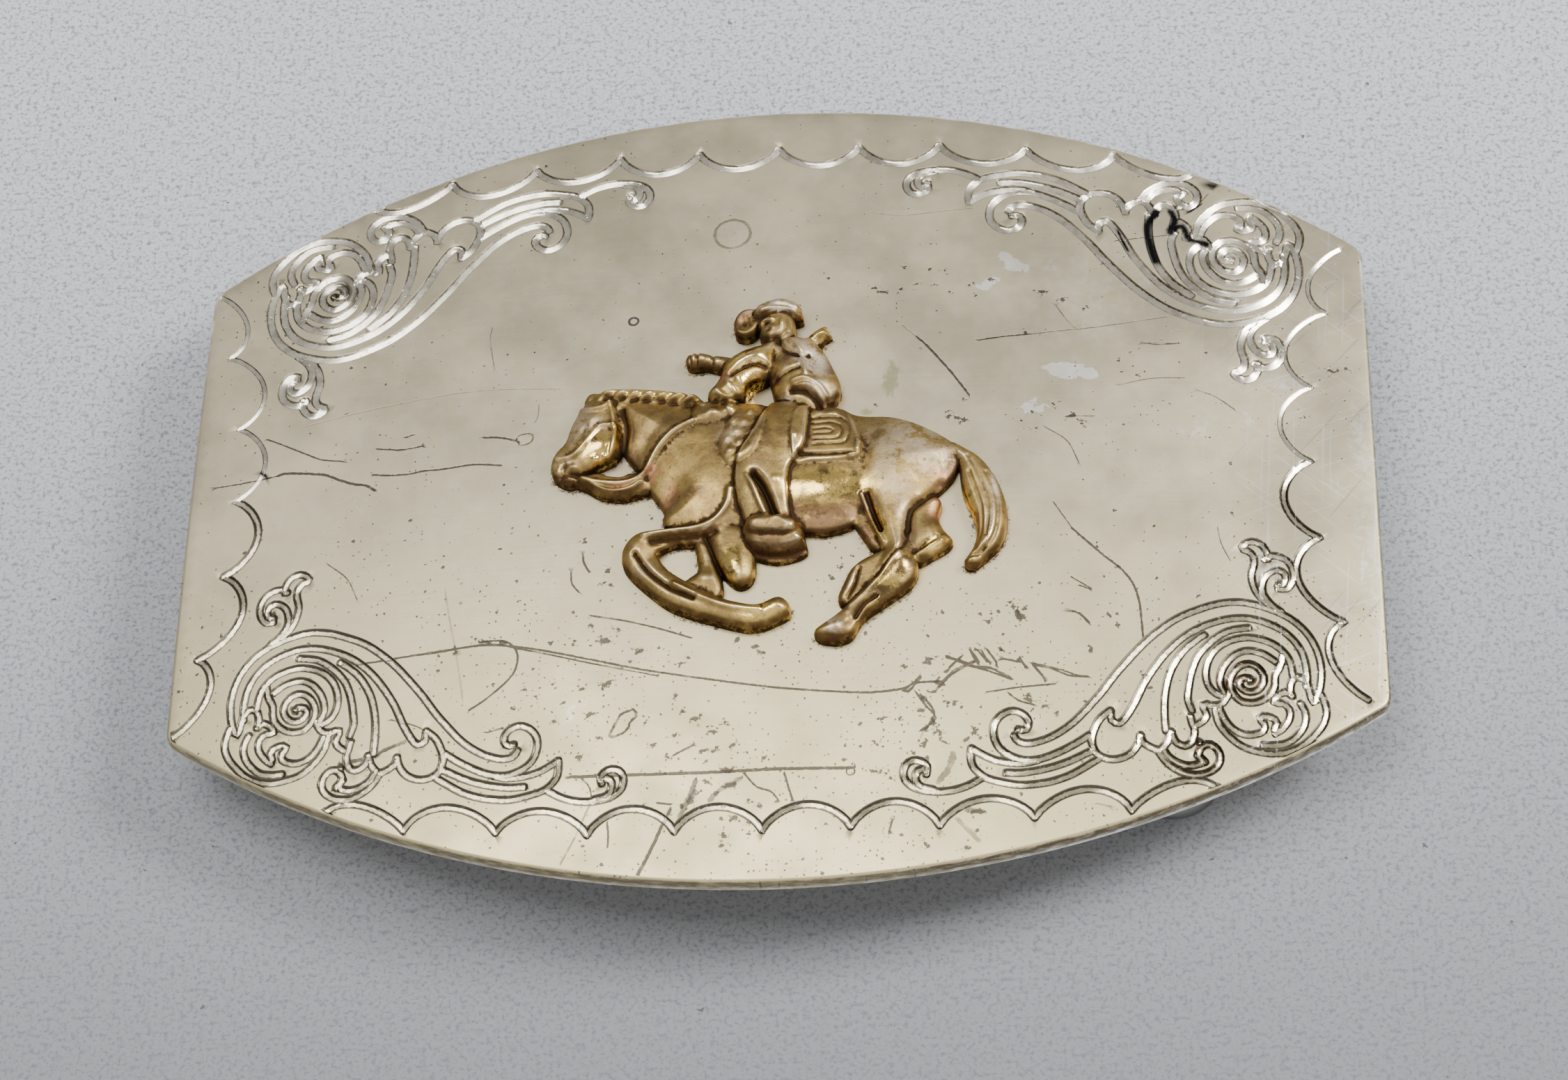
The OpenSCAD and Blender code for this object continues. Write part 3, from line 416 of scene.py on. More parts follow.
# Swells and hollows of the casting. Columns: x, y, half length, half width, turn, height.
SWELLS = [
    (-12.6, 0.95, 1.5, 1.3, 20, 0.42), (-14.9, 0.6, 1.2, 0.7, 70, -0.16), (-13.3, 3.3, 0.55, 0.38, 60, 0.3),
    (-15.3, -0.65, 0.34, 0.24, 70, -0.3), (-14, 2.2, 1.4, 0.3, 62, -0.14), (-9.2, 3.4, 2.6, 1.2, -24, 0.15),
    (-6.8, -2.9, 1.5, 1, 60, -0.35), (-5, -2.2, 2.6, 2, 40, 0.28), (-8.9, 1.6, 1.8, 0.6, 55, -0.18),
    (4.2, -3.3, 3.4, 1.4, 0, 0.32), (4.2, -5.3, 3, 0.9, 4, -0.3), (11, -0.4, 2.2, 1.8, -30, 0.25),
    (9.6, -2.6, 2.2, 1.2, 70, 0.18), (13, -1.6, 1.6, 0.5, 60, -0.2), (7.4, -0.6, 2.2, 0.5, 84, -0.25),
    (9.9, -9.6, 1, 0.8, 0, 0.25), (12.2, -7, 1, 0.9, 30, 0.2), (11.5, -8.4, 0.9, 0.35, 35, -0.3),
    (-9.6, -7.6, 0.9, 0.9, 0, 0.22), (-4.4, -10.4, 0.75, 0.6, 0, 0.35), (0.9, -13, 0.8, 0.7, 0, 0.2),
    (-2.2, -9.2, 0.6, 0.9, 0, 0.2), (6.1, -14.2, 0.5, 0.9, -40, -0.3), (5, -14.9, 0.9, 0.6, 20, 0.15),
    (-1.6, 5.7, 0.9, 0.8, 30, 0.3), (-1.4, 7.9, 1.2, 0.6, 30, 0.25), (-3.4, 5.4, 0.6, 0.5, 0, -0.25),
    (1.2, 8.4, 1.2, 0.8, -30, -0.35), (3.6, 7.3, 0.9, 1.5, 20, -0.25), (2.6, 6.6, 0.6, 1.2, 0, 0.15),
    (0.2, 6.4, 0.7, 0.5, -50, -0.4), (3.9, 3.1, 0.6, 0.4, 0, 0.2), (4.9, 3, 0.45, 0.35, 0, 0.22),
    (0.3, -0.4, 1, 2, 10, 0.16), (2.1, 0.5, 0.34, 0.42, 0, 0.22), (0.9, -3.2, 0.38, 0.38, 0, 0.2),
    (0.95, -6.2, 0.42, 0.42, 0, 0.2), (-2.2, 1.4, 0.35, 0.3, 0, 0.2), (-1.7, 2.3, 0.35, 0.3, 0, 0.2),
    (-2.5, 2.4, 0.35, 0.3, 0, 0.18), (-2.6, -0.3, 0.35, 0.3, 0, 0.18), (-4.2, 3.4, 0.5, 0.35, 20, 0.25),
    (-2, 11.8, 0.6, 0.85, -10, -0.5), (3.7, 10.5, 0.6, 0.22, 35, 0.3), (1.2, 10.6, 0.5, 0.8, 0, 0.15),
    (0.6, 12.9, 1.2, 0.35, -10, -0.25), (-5.9, 8.9, 0.25, 0.5, 0, 0.2), (-5.3, 8.8, 0.25, 0.5, 0, 0.2),
    (-0.3, 11.35, 0.26, 0.16, 0, -0.35), (-0.72, 11.1, 0.2, 0.3, 10, 0.3), (0.95, 11.1, 0.2, 0.3, 0, 0.25),
    (-0.1, 10.2, 0.35, 0.25, 0, 0.2), (1.5, 11, 0.3, 0.8, 0, -0.3), (0.3, 10.75, 0.3, 0.25, 0, 0.12),
    (16.2, -6, 0.8, 2.4, 8, 0.15), (15.8, -9, 0.5, 0.4, 0, -0.2), (-4.9, 4.3, 0.3, 0.25, 0, 0.2),
    (-3.6, 4.5, 0.3, 0.22, 40, 0.2), (-3, 3.7, 0.25, 0.3, 0, 0.16), (-1.2, 1.2, 0.3, 0.25, 0, 0.16),
    (-2, 0.4, 0.28, 0.3, 0, 0.18), (-2.9, 0.8, 0.25, 0.25, 0, 0.16), (-1.3, 3.3, 0.3, 0.25, 20, 0.18),
    (-2.2, -0.9, 0.3, 0.22, 0, 0.16), (-12.9, -0.1, 0.3, 0.25, 0, 0.3), (-12.2, 0.1, 0.22, 0.22, 0, 0.3),
    (-14.6, -0.6, 0.3, 0.22, 0, 0.2), (-15.9, 0.5, 0.35, 0.3, 0, 0.18)
]

# Raised cords (+) and cut lines (-) of the casting. Columns: height, half width, points.
LINE_RISE = 1.3
LINES = [
    (0.42, 0.26, [-5.6, 2.7, -6.8, 1.9, -7.9, 0.8, -8.5, -0.1, -9, -1, -9.8, -1.75, -11, -2.05, -12.6, -1.85,
        -14, -1.4]),
    (0.32, 0.22, [-9.4, -2, -10.4, -2.55, -11.6, -2.65, -12.8, -2.25, -13.9, -1.7]),
    (0.28, 0.2, [-12, 4.9, -11.7, 3.6, -11.5, 2.2, -11.6, 0.9, -11.75, 0.2]),
    (0.24, 0.2, [-12, 4.9, -12.7, 4.4, -13.6, 4.4, -14.4, 4.6]),
    (0.26, 0.2, [-11.7, 2.8, -12.6, 2.7, -13.3, 1.8, -13.9, 0.9, -14.8, 0.2, -16, 0.2]),
    (-0.3, 0.2, [-14.3, -1.1, -14.9, -1.05, -15.6, -1.2]),
    (-0.35, 0.3, [-10.95, 0.4, -10.75, 1.6, -10.7, 2.8, -11, 4.2]),
    (0.35, 0.3, [-8.9, -6.9, -8.1, -6.7, -6.6, -6.55, -5, -6.3, -3.6, -5.6, -2.8, -4.6, -2.6, -3.5]),
    (-0.3, 0.3, [-8.4, -7.35, -6.6, -7.05, -5, -6.95, -3.8, -6.6]),
    (-0.35, 0.2, [-9.6, -8.4, -8.6, -9.8, -7, -11.2, -5.2, -12.1]),
    (0.25, 0.25, [-6.6, -11, -4.8, -12, -2.6, -12.9, -0.4, -13.3]),
    (-0.3, 0.2, [-4.5, -6.9, -4, -8.2, -3.4, -9.6, -2.9, -10.7]),
    (-0.8, 0.3, [-0.85, -2.6, -0.25, -3.4, 0.35, -4.7, 0.75, -5.8]),
    (0.22, 0.18, [-1.25, -2.7, -0.8, -3.7, -0.3, -5, 0.2, -6]),
    (0.25, 0.2, [1.9, 5.6, 2.9, 5.75, 3.9, 5.2, 4.5, 4.4]),
    (0.22, 0.18, [2.1, 5.1, 3.1, 5.2, 3.8, 4.7, 4.2, 4]),
    (-0.3, 0.22, [1.8, 4.9, 2.6, 4.8, 3.4, 4.3, 3.9, 3.6]),
    (-0.38, 0.28, [-2.7, 6.5, -1.8, 7.1, -1, 7.4, -0.3, 7.3]),
    (-0.28, 0.25, [-2.6, 5.9, -2, 5.2, -1.3, 5]),
    (0.22, 0.2, [-3.9, 5.2, -3.3, 4.7, -2.5, 4.6]),
    (-0.28, 0.25, [0.7, 9.6, 1.3, 8.6, 2.3, 8, 3, 8]),
    (0.24, 0.22, [1.9, 9.6, 2.4, 8.6, 2.7, 7.4, 2.9, 6.2]),
    (-0.22, 0.2, [0.6, 6.2, 1.6, 6.6, 2.4, 6.8]),
    (-0.2, 0.14, [2.5, -0.75, 4.4, -0.8, 6.7, -0.7]),
    (-0.11, 0.12, [3.4, 2.5, 4.6, 2.7, 5.6, 2.6, 6.1, 1.9, 6.1, 0.9, 5.7, 0.2, 3.6, 0.1]),
    (-0.1, 0.11, [3.4, 2, 4.6, 2.15, 5.3, 2, 5.6, 1.5, 5.5, 0.9, 5.1, 0.6, 3.6, 0.55]),
    (-0.09, 0.1, [3.5, 1.5, 4.5, 1.6, 4.9, 1.4, 4.9, 1.15, 3.6, 1.05]),
    (0.25, 0.25, [6.3, -1, 6.8, -0.7, 6.95, 0.2]),
    (0.3, 0.18, [7.1, -4, 7.6, -5.4, 8.1, -6.6, 8.7, -7.9]),
    (-0.3, 0.2, [7.5, -3.9, 8, -5.4, 8.5, -6.8]),
    (-0.28, 0.3, [12.9, -3, 11.9, -4.2, 10.7, -5.3, 10.5, -6.8]),
    (-0.2, 0.2, [10.3, -7, 10.2, -8.2, 9.2, -9.4, 8.2, -10.8]),
    (0.25, 0.28, [9.8, -9, 8.6, -10.7, 7.4, -12.1, 6.3, -13.2]),
    (-0.3, 0.18, [8.2, -12.3, 7.3, -13, 6.7, -13.9]),
    (-0.25, 0.18, [6.9, -9.9, 6.6, -11.2, 6.1, -12.2]),
    (0.25, 0.2, [11.2, -9, 12.2, -8.3, 13, -7.9]),
    (-0.12, 0.13, [14.9, -0.6, 15.6, -2, 16.2, -3.8, 16.4, -5.6, 16.2, -7.4]),
    (-0.12, 0.13, [15, -2, 15.5, -3.6, 15.9, -5.2, 15.9, -7, 15.4, -8.4]),
    (-0.12, 0.13, [16.2, -2, 16.9, -3.8, 17.1, -5.6, 16.8, -7.4, 16, -8.6]),
    (-0.2, 0.15, [14.9, -9, 15.5, -8.9, 16.1, -8.3]),
    (0.2, 0.15, [-0.7, 12.35, 0.2, 12.6, 1.2, 12.55, 1.9, 12.3]),
    (-0.15, 0.2, [-0.9, 11.7, -1.3, 12.4, -1.2, 13]),
    (-0.2, 0.13, [-5.65, 8.3, -5.6, 9, -5.6, 9.5]),
    (-0.2, 0.13, [-6.05, 8.4, -6.05, 9, -6, 9.5]),
    (-0.22, 0.16, [-4.5, 8.1, -4.4, 8.7, -4.4, 9.2]),
    (-0.2, 0.12, [-0.75, 10.62, -0.4, 10.6, -0.05, 10.68]),
    (0.18, 0.13, [-0.75, 11.55, -0.3, 11.62, 0.2, 11.5]),
    (-0.18, 0.14, [0.3, 9.95, 0.9, 10.1, 1.3, 10.6]),
]

# Plaits of the mane: number, first place, step, half length, half width, turn, height.
PLAITS = {"count": 7, "start": (-12.2, 5.75), "step": (1.06, -0.12), "long": 0.74, "wide": 0.25,
          "turn": 26, "height": 0.75}

# Tints of the casting by kind; gold and silver are laid partly where highlights fall, as painted highlight, and brown
# partly where shade falls, as painted shade. Columns: x, y, half length, half width, turn, strength.
TINTS = {
    "gold": [(4.5, -3.3, 3.2, 1.2, 0, 1), (-12.9, 0.9, 1.3, 1.2, 0, 1), (-1.1, 7.8, 1.8, 0.8, 20, 1),
        (-1.3, 5.9, 1, 0.8, 20, 1), (9.2, -11, 2.4, 0.8, 48, 0.9), (-11.2, 2.2, 0.5, 1.2, 0, 0.6),
        (-2.4, -9.2, 0.8, 1.6, 0, 0.8), (-0.4, -13.4, 1.6, 0.7, 10, 0.8), (8.4, -6.4, 0.5, 1.6, 18, 0.8),
        (12.4, -8, 1.2, 0.6, 32, 0.8), (15, -5.6, 0.5, 2.4, 0, 0.8), (-15.4, -0.4, 0.8, 0.8, 0, 0.5),
        (-9.6, 5.7, 3.4, 0.7, -6, 0.5), (3.4, 10.6, 0.8, 0.7, 0, 0.7)],
    "bare": [(2.9, 8.4, 1.8, 2.2, 10, 1), (3.6, 5.4, 1.6, 1.8, 0, 0.6), (1.2, 2.6, 1.4, 2.8, 8, 0.05),
        (-0.6, -3, 0.9, 2.4, 0, 0.25), (11.2, 0.2, 3.2, 2.4, -22, 1), (9.6, -2.6, 1.6, 1.8, 0, 0.8),
        (10.2, -5.8, 0.7, 2, 10, 0.6), (-14, 2.8, 1.4, 2.6, 30, 0.9), (-15.4, -0.2, 0.9, 0.9, 0, 0.6),
        (-2.6, 1.8, 1, 1.8, -15, 0.5), (-7, 0.6, 1.6, 1.6, 0, 0.1), (-9, -9.6, 1, 0.8, -40, 0.4),
        (16.4, -4, 0.6, 2.4, 10, 0.5)],
    "copper": [(-7.2, -3.3, 1.1, 0.7, 70, 0.7), (-8.4, -1.4, 0.8, 1, 20, 0.7), (12.6, -5, 1, 1.2, 0, 0.8),
        (-3.4, 6.6, 0.8, 0.8, 0, 0.6), (12.6, -2.6, 1.4, 0.8, 50, 0.5), (7.6, -5, 0.5, 1.8, 15, 0.7),
        (-10.8, -2, 1.2, 0.5, 20, 0.5)],
    "brown": [(-15.6, -1.2, 1, 0.6, 0, 0.8), (5.2, -15, 1.4, 0.9, 20, 0.7), (4.2, -5, 3.6, 1.5, 2, 1),
        (-0.6, 0.6, 1.1, 2.8, 12, 0.5), (0.6, -7.8, 1.8, 0.8, 0, 0.5), (-2, 12, 1.1, 1.4, 0, 1),
        (-5.2, -3.4, 1.2, 0.9, 30, 0.5), (7.2, -3.8, 0.6, 1.6, 10, 1), (7.4, -6.9, 1, 1.6, 20, 1),
        (13.9, -1.6, 0.6, 1.8, 0, 0.9), (1.2, 8, 0.8, 0.8, 0, 0.7), (0.4, 6.2, 0.7, 0.7, 0, 0.9),
        (-10.2, 1.4, 0.6, 1.4, 10, 0.6), (-4.6, -7.2, 2.4, 0.5, 0, 0.6), (4.6, 7.2, 0.6, 1.2, 20, 0.5),
        (11, -8.6, 0.8, 0.5, 40, 0.7)],
    "silver": [(0.6, 13.1, 1.8, 0.8, 5, 1), (3.1, 7.8, 1.2, 1.6, 20, 0.8), (11.2, 0.4, 2.6, 1.4, -22, 0.3),
        (5, -14.6, 0.7, 0.7, 0, 0.7), (1.6, 4.2, 0.7, 0.6, 8, 0.4), (16.8, -3, 0.35, 1.6, 15, 0.5),
        (3.6, 5.6, 0.9, 0.4, -30, 0.6), (-9.4, 5.9, 2.8, 0.4, -6, 0.5)],
}


class EngravedPlateSettings(bpy.types.PropertyGroup):
    """Sizes and colours of the plate"""

    half_length: FloatProperty(
        name="Half length", description="From the middle to a straight end", default=PLATE_HIGH.x,
        unit="LENGTH")
    half_height: FloatProperty(
        name="Half height", description="From the middle to the top of an arched edge", default=0.0337,
        unit="LENGTH")
    edge_radius: FloatProperty(
        name="Edge radius", description="Radius of the arched long edges", default=0.08, unit="LENGTH")
    corner_reach: FloatProperty(
        name="Corner reach", description="How far the trimmed corners are from the middle", default=0.049,
        unit="LENGTH")
    dome_radius: FloatProperty(
        name="Dome radius", description="Radius that the face is domed to", default=0.3, unit="LENGTH")
    face_height: FloatProperty(
        name="Face height", description="Height of the face's middle", default=PLATE_HIGH.z, unit="LENGTH")
    thickness: FloatProperty(name="Thickness", description="Thickness of the metal", default=0.0015, unit="LENGTH")
    edge_round: FloatProperty(
        name="Edge round", description="Radius that the face's edge is rounded to", default=0.0003,
        unit="LENGTH")
    groove_width: FloatProperty(
        name="Groove width", description="Width of an engraved line in the upper half", default=0.00066,
        unit="LENGTH", precision=5)
    lower_groove_width: FloatProperty(
        name="Lower groove width", description="Width of an engraved line in the lower half", default=0.00057,
        unit="LENGTH", precision=5)
    groove_depth: FloatProperty(
        name="Groove depth", description="Depth of an engraved line", default=0.00025, unit="LENGTH",
        precision=5)
    silver: FloatVectorProperty(
        name="Silver", description="Colour of the worn nickel silver", default=(0.69, 0.605, 0.405),
        subtype="COLOR", min=0, max=1)
    grime: FloatVectorProperty(
        name="Grime", description="Colour of the dirt in its cuts and pits", default=(0.06, 0.05, 0.038),
        subtype="COLOR", min=0, max=1)


class CastingSettings(bpy.types.PropertyGroup):
    """Sizes and colours of the horse and rider"""

    grid_step: FloatProperty(
        name="Grid step", description="Distance between the points of its surface", default=0.000073,
        unit="LENGTH", precision=6)
    tallest: FloatProperty(
        name="Height", description="Height of its crown above the face",
        default=FIGURE_HIGH.z - PLATE_HIGH.z - 0.00003, unit="LENGTH")
    gold: FloatVectorProperty(
        name="Gold", description="Colour of the gold wash", default=(1.0, 0.7, 0.2), subtype="COLOR", min=0,
        max=1)
    bare: FloatVectorProperty(
        name="Bare metal", description="Colour where the wash has worn off", default=(0.57, 0.435, 0.25),
        subtype="COLOR", min=0, max=1)
    dull: FloatVectorProperty(
        name="Dull gold", description="Colour of the dulled wash", default=(0.26, 0.178, 0.072),
        subtype="COLOR", min=0, max=1)
    # The hollows' tarnish colour also serves as their painted shade.
    hollow: FloatVectorProperty(
        name="Hollows", description="Colour of the tarnish in its hollows", default=(0.055, 0.032, 0.016),
        subtype="COLOR", min=0, max=1)


class FittingSettings(bpy.types.PropertyGroup):
    """Sizes and colours of the hook and the loop"""

    hook_x: FloatProperty(
        name="Hook place", description="Distance of the hook's post from the middle", default=0.024,
        unit="LENGTH")
    hook_wire: FloatProperty(
        name="Hook wire", description="Diameter of the hook's wire", default=0.0032, unit="LENGTH")
    hook_bend: FloatProperty(name="Hook bend", description="Radius of the hook's bend", default=0.0036, unit="LENGTH")
    hook_tip: FloatProperty(
        name="Hook tip", description="Straight length of the hook's tip", default=0.004, unit="LENGTH")
    foot_width: FloatProperty(
        name="Foot width", description="Diameter of the hook's foot", default=0.009, unit="LENGTH")
    foot_thickness: FloatProperty(
        name="Foot thickness", description="Thickness of the hook's foot", default=0.001, unit="LENGTH")
    loop_wire: FloatProperty(
        name="Loop wire", description="Diameter of the loop's wire", default=0.0028, unit="LENGTH")
    loop_width: FloatProperty(
        name="Loop width", description="Between the middles of its side wires", default=0.0486, unit="LENGTH")
    loop_length: FloatProperty(
        name="Loop length", description="From its hinge wire to its free bar", default=0.017, unit="LENGTH")
    loop_bend: FloatProperty(
        name="Loop bend", description="Radius of the loop's corners", default=0.003, unit="LENGTH")
    hinge_x: FloatProperty(
        name="Hinge place", description="Distance of the hinge wire from the middle", default=0.0155,
        unit="LENGTH")
    hinge_z: FloatProperty(name="Hinge height", description="Height of the hinge wire", default=0.007, unit="LENGTH")
    block_length: FloatProperty(
        name="Block length", description="Length of the block on the back", default=0.022, unit="LENGTH")
    block_width: FloatProperty(
        name="Block width", description="Width of the block on the back", default=0.006, unit="LENGTH")
    steel: FloatVectorProperty(
        name="Steel", description="Colour of the plated steel", default=(0.33, 0.325, 0.31), subtype="COLOR",
        min=0, max=1)


class BuckleStageSettings(bpy.types.PropertyGroup):
    """The floor, the lights and the camera"""

    floor_colour: FloatVectorProperty(
        name="Floor", description="Colour of the floor", default=(0.61, 0.625, 0.65), subtype="COLOR", min=0,
        max=1)
    room_light: FloatProperty(
        name="Room light", description="Strength of the light from all round", default=0.5, min=0)
    sky_power: FloatProperty(
        name="Ceiling light", description="Power of the wide light overhead", default=2.9, min=0,
        unit="POWER")
    key_power: FloatProperty(
        name="Key light", description="Power of the light from the upper right", default=3.6, min=0,
        unit="POWER")
    lens: FloatProperty(
        name="Lens", description="The camera's focal length in millimetres", default=89.93, unit="CAMERA")
    eye: FloatVectorProperty(
        name="Camera place", description="Where the camera stands", default=(0.02986, -0.1529, 0.25954),
        subtype="TRANSLATION", unit="LENGTH")


def through(points, spacing, closed=False):
    """Points at an even spacing on the smooth curve through the given x, y, x, y and so on."""
    knots = np.array(points, float).reshape(-1, 2)
    if closed:
        knots = np.vstack([knots[-1], knots, knots[0], knots[1]])
    else:
        knots = np.vstack([2 * knots[0] - knots[1], knots, 2 * knots[-1] - knots[-2]])
    t = np.linspace(0, 1, 12, endpoint=False)[:, None]
    runs = []
    for a, b, c, d in zip(knots[:-3], knots[1:-2], knots[2:-1], knots[3:]):
        runs.append(0.5 * (2 * b + (c - a) * t + (2 * a - 5 * b + 4 * c - d) * t ** 2
                           + (3 * b - a - 3 * c + d) * t ** 3))
    fine = np.vstack(runs + [knots[-2:-1]])
    along = np.concatenate([[0], np.cumsum(np.linalg.norm(np.diff(fine, axis=0), axis=1))])
    even = np.linspace(0, along[-1], max(int(round(along[-1] / spacing)), 1) + 1)
    run = np.stack([np.interp(even, along, fine[:, axis]) for axis in (0, 1)], 1)
    return run[:-1] if closed else run


def nearest_on_runs(points, runs):
    """The vector to each point from the nearest place on the polylines, and that place's side direction."""
    best = np.full(len(points), np.inf)
    offset, side = np.zeros((len(points), 2)), np.zeros((len(points), 2))
    for run in runs:
        for a, b in zip(run[:-1], run[1:]):
            step = b - a
            t = np.clip((points - a) @ step / max(step @ step, 1e-12), 0, 1)
            away = points - a - t[:, None] * step
            square = (away ** 2).sum(1)
            closer = square < best
            best[closer], offset[closer] = square[closer], away[closer]
            side[closer] = np.array((-step[1], step[0])) / max(np.linalg.norm(step), 1e-9)
    return offset, side


def distance_to_runs(points, runs):
    """Distance from each point to the nearest of the polylines."""
    return np.linalg.norm(nearest_on_runs(points, runs)[0], axis=1)


def groove_shape(folded, signs, runs, width):
    """How deep each point lies in a groove, from 0 to 1, and its distance from the groove's middle.

    A groove has steep walls and a flat floor. The cutter leaned to the lower right, so the floor dips that way."""
    offset, side = nearest_on_runs(folded, runs)
    lean = (side * signs * CUTTER_LEAN).sum(1)
    side *= np.where(lean < 0, -1, 1)[:, None]
    across = 2 * (offset * side).sum(1) / width
    away = 2 * np.linalg.norm(offset, axis=1) / width
    lean = np.abs(lean)
    floor = 1 - 0.82 * lean * (CUTTER_WALL - across) / (2 * CUTTER_WALL)
    floor = np.clip(floor, 1 - 0.82 * lean, 1)
    wall = np.clip((1 - np.abs(across)) / (1 - CUTTER_WALL), 0, 1)
    end = np.sqrt(np.clip(1 - (away ** 2 - across ** 2), 0, 1))
    return floor * wall * end * (0.6 + 0.4 * lean), away


def depth_inside(x, y, outline):
    """How far each place lies inside a closed outline; it is negative outside."""
    best = np.full(x.shape, np.inf)
    inside = np.zeros(x.shape, bool)
    for (ax, ay), (bx, by) in zip(outline, np.roll(outline, -1, axis=0)):
        dx, dy = bx - ax, by - ay
        t = np.clip(((x - ax) * dx + (y - ay) * dy) / max(dx * dx + dy * dy, 1e-12), 0, 1)
        best = np.minimum(best, (x - ax - t * dx) ** 2 + (y - ay - t * dy) ** 2)
        if ay != by:
            inside ^= ((ay > y) != (by > y)) & (x < ax + (y - ay) * dx / dy)
    away = np.sqrt(best)
    return np.where(inside, away, -away)


def oval(x, y, place, half_length, half_width, turn):
    """A soft spot that is 1 at its middle and fades out past its half sizes."""
    c, s = math.cos(math.radians(turn)), math.sin(math.radians(turn))
    along = ((x - place[0]) * c + (y - place[1]) * s) / half_length
    across = ((y - place[1]) * c - (x - place[0]) * s) / half_width
    return np.exp(-(along ** 2 + across ** 2))


def dome(x, y, radius, top):
    """Height in metres of a dome at places in metres."""
    return top - radius + np.sqrt(radius ** 2 - x ** 2 - y ** 2)


def new_object(name, points, faces, material, sharp=40):
    """An object from numpy points and faces, smoothly shaded up to a fold angle."""
    mesh = bpy.data.meshes.new(name)
    mesh.from_pydata(np.asarray(points, float).tolist(), [], faces)
    mesh.update()
    mesh.shade_smooth()
    mesh.set_sharp_from_angle(angle=math.radians(sharp))
    mesh.materials.append(material)
    made = bpy.data.objects.new(name, mesh)
    bpy.context.scene.collection.objects.link(made)
    return made


def add_values(made, name, values):
    """Keeps one number for each point, for the material to read."""
    layer = made.data.attributes.new(name, "FLOAT", "POINT")
    layer.data.foreach_set("value", np.asarray(values, np.float32))


def feed(node, inputs):
    """Sets or links a node's inputs."""
    for key, value in inputs.items():
        value = getattr(value, "socket", value)
        if isinstance(value, bpy.types.NodeSocket):
            node.id_data.links.new(value, node.inputs[key])
        else:
            node.inputs[key].default_value = value


def put(tree, kind, inputs=None, **settings):
    """Adds a shader node and sets or links its inputs."""
    node = tree.nodes.new(kind)
    for key, value in settings.items():
        setattr(node, key, value)
    feed(node, inputs or {})
    return node


def opaque(tint):
    """A colour with an alpha of one; a socket stays as it is."""
    return tint if isinstance(tint, bpy.types.NodeSocket) else (*tint, 1.0)


def mixed(tree, factor, first, second):
    """Blends two colours by a factor and gives the result's socket."""
    inputs = {0: factor, 6: opaque(first), 7: opaque(second)}
    return put(tree, "ShaderNodeMix", inputs, data_type="RGBA").outputs[2]


class Amount:
    """A number that shader nodes work out, with the usual sums."""

    def __init__(self, socket):
        self.socket = socket

    def joined(self, operation, first, second):
        """Two amounts joined by a sum."""
        inputs = {0: first, 1: second}
        return Amount(put(self.socket.id_data, "ShaderNodeMath", inputs, operation=operation).outputs[0])

    def __add__(self, other):
        return self.joined("ADD", self, other)

    def __sub__(self, other):
        return self.joined("SUBTRACT", self, other)

    def __rsub__(self, other):
        return self.joined("SUBTRACT", other, self)

    def __mul__(self, other):
        return self.joined("MULTIPLY", self, other)

    def most(self, other):
        """The larger of two amounts."""
        return self.joined("MAXIMUM", self, other)

    def ramp(self, low, high, to_low=0.0, to_high=1.0):
        """This amount's range, mapped smoothly to another."""
        inputs = {0: self, 1: low, 2: high, 3: to_low, 4: to_high}
        return Amount(put(self.socket.id_data, "ShaderNodeMapRange", inputs,
                          interpolation_type="SMOOTHSTEP").outputs[0])


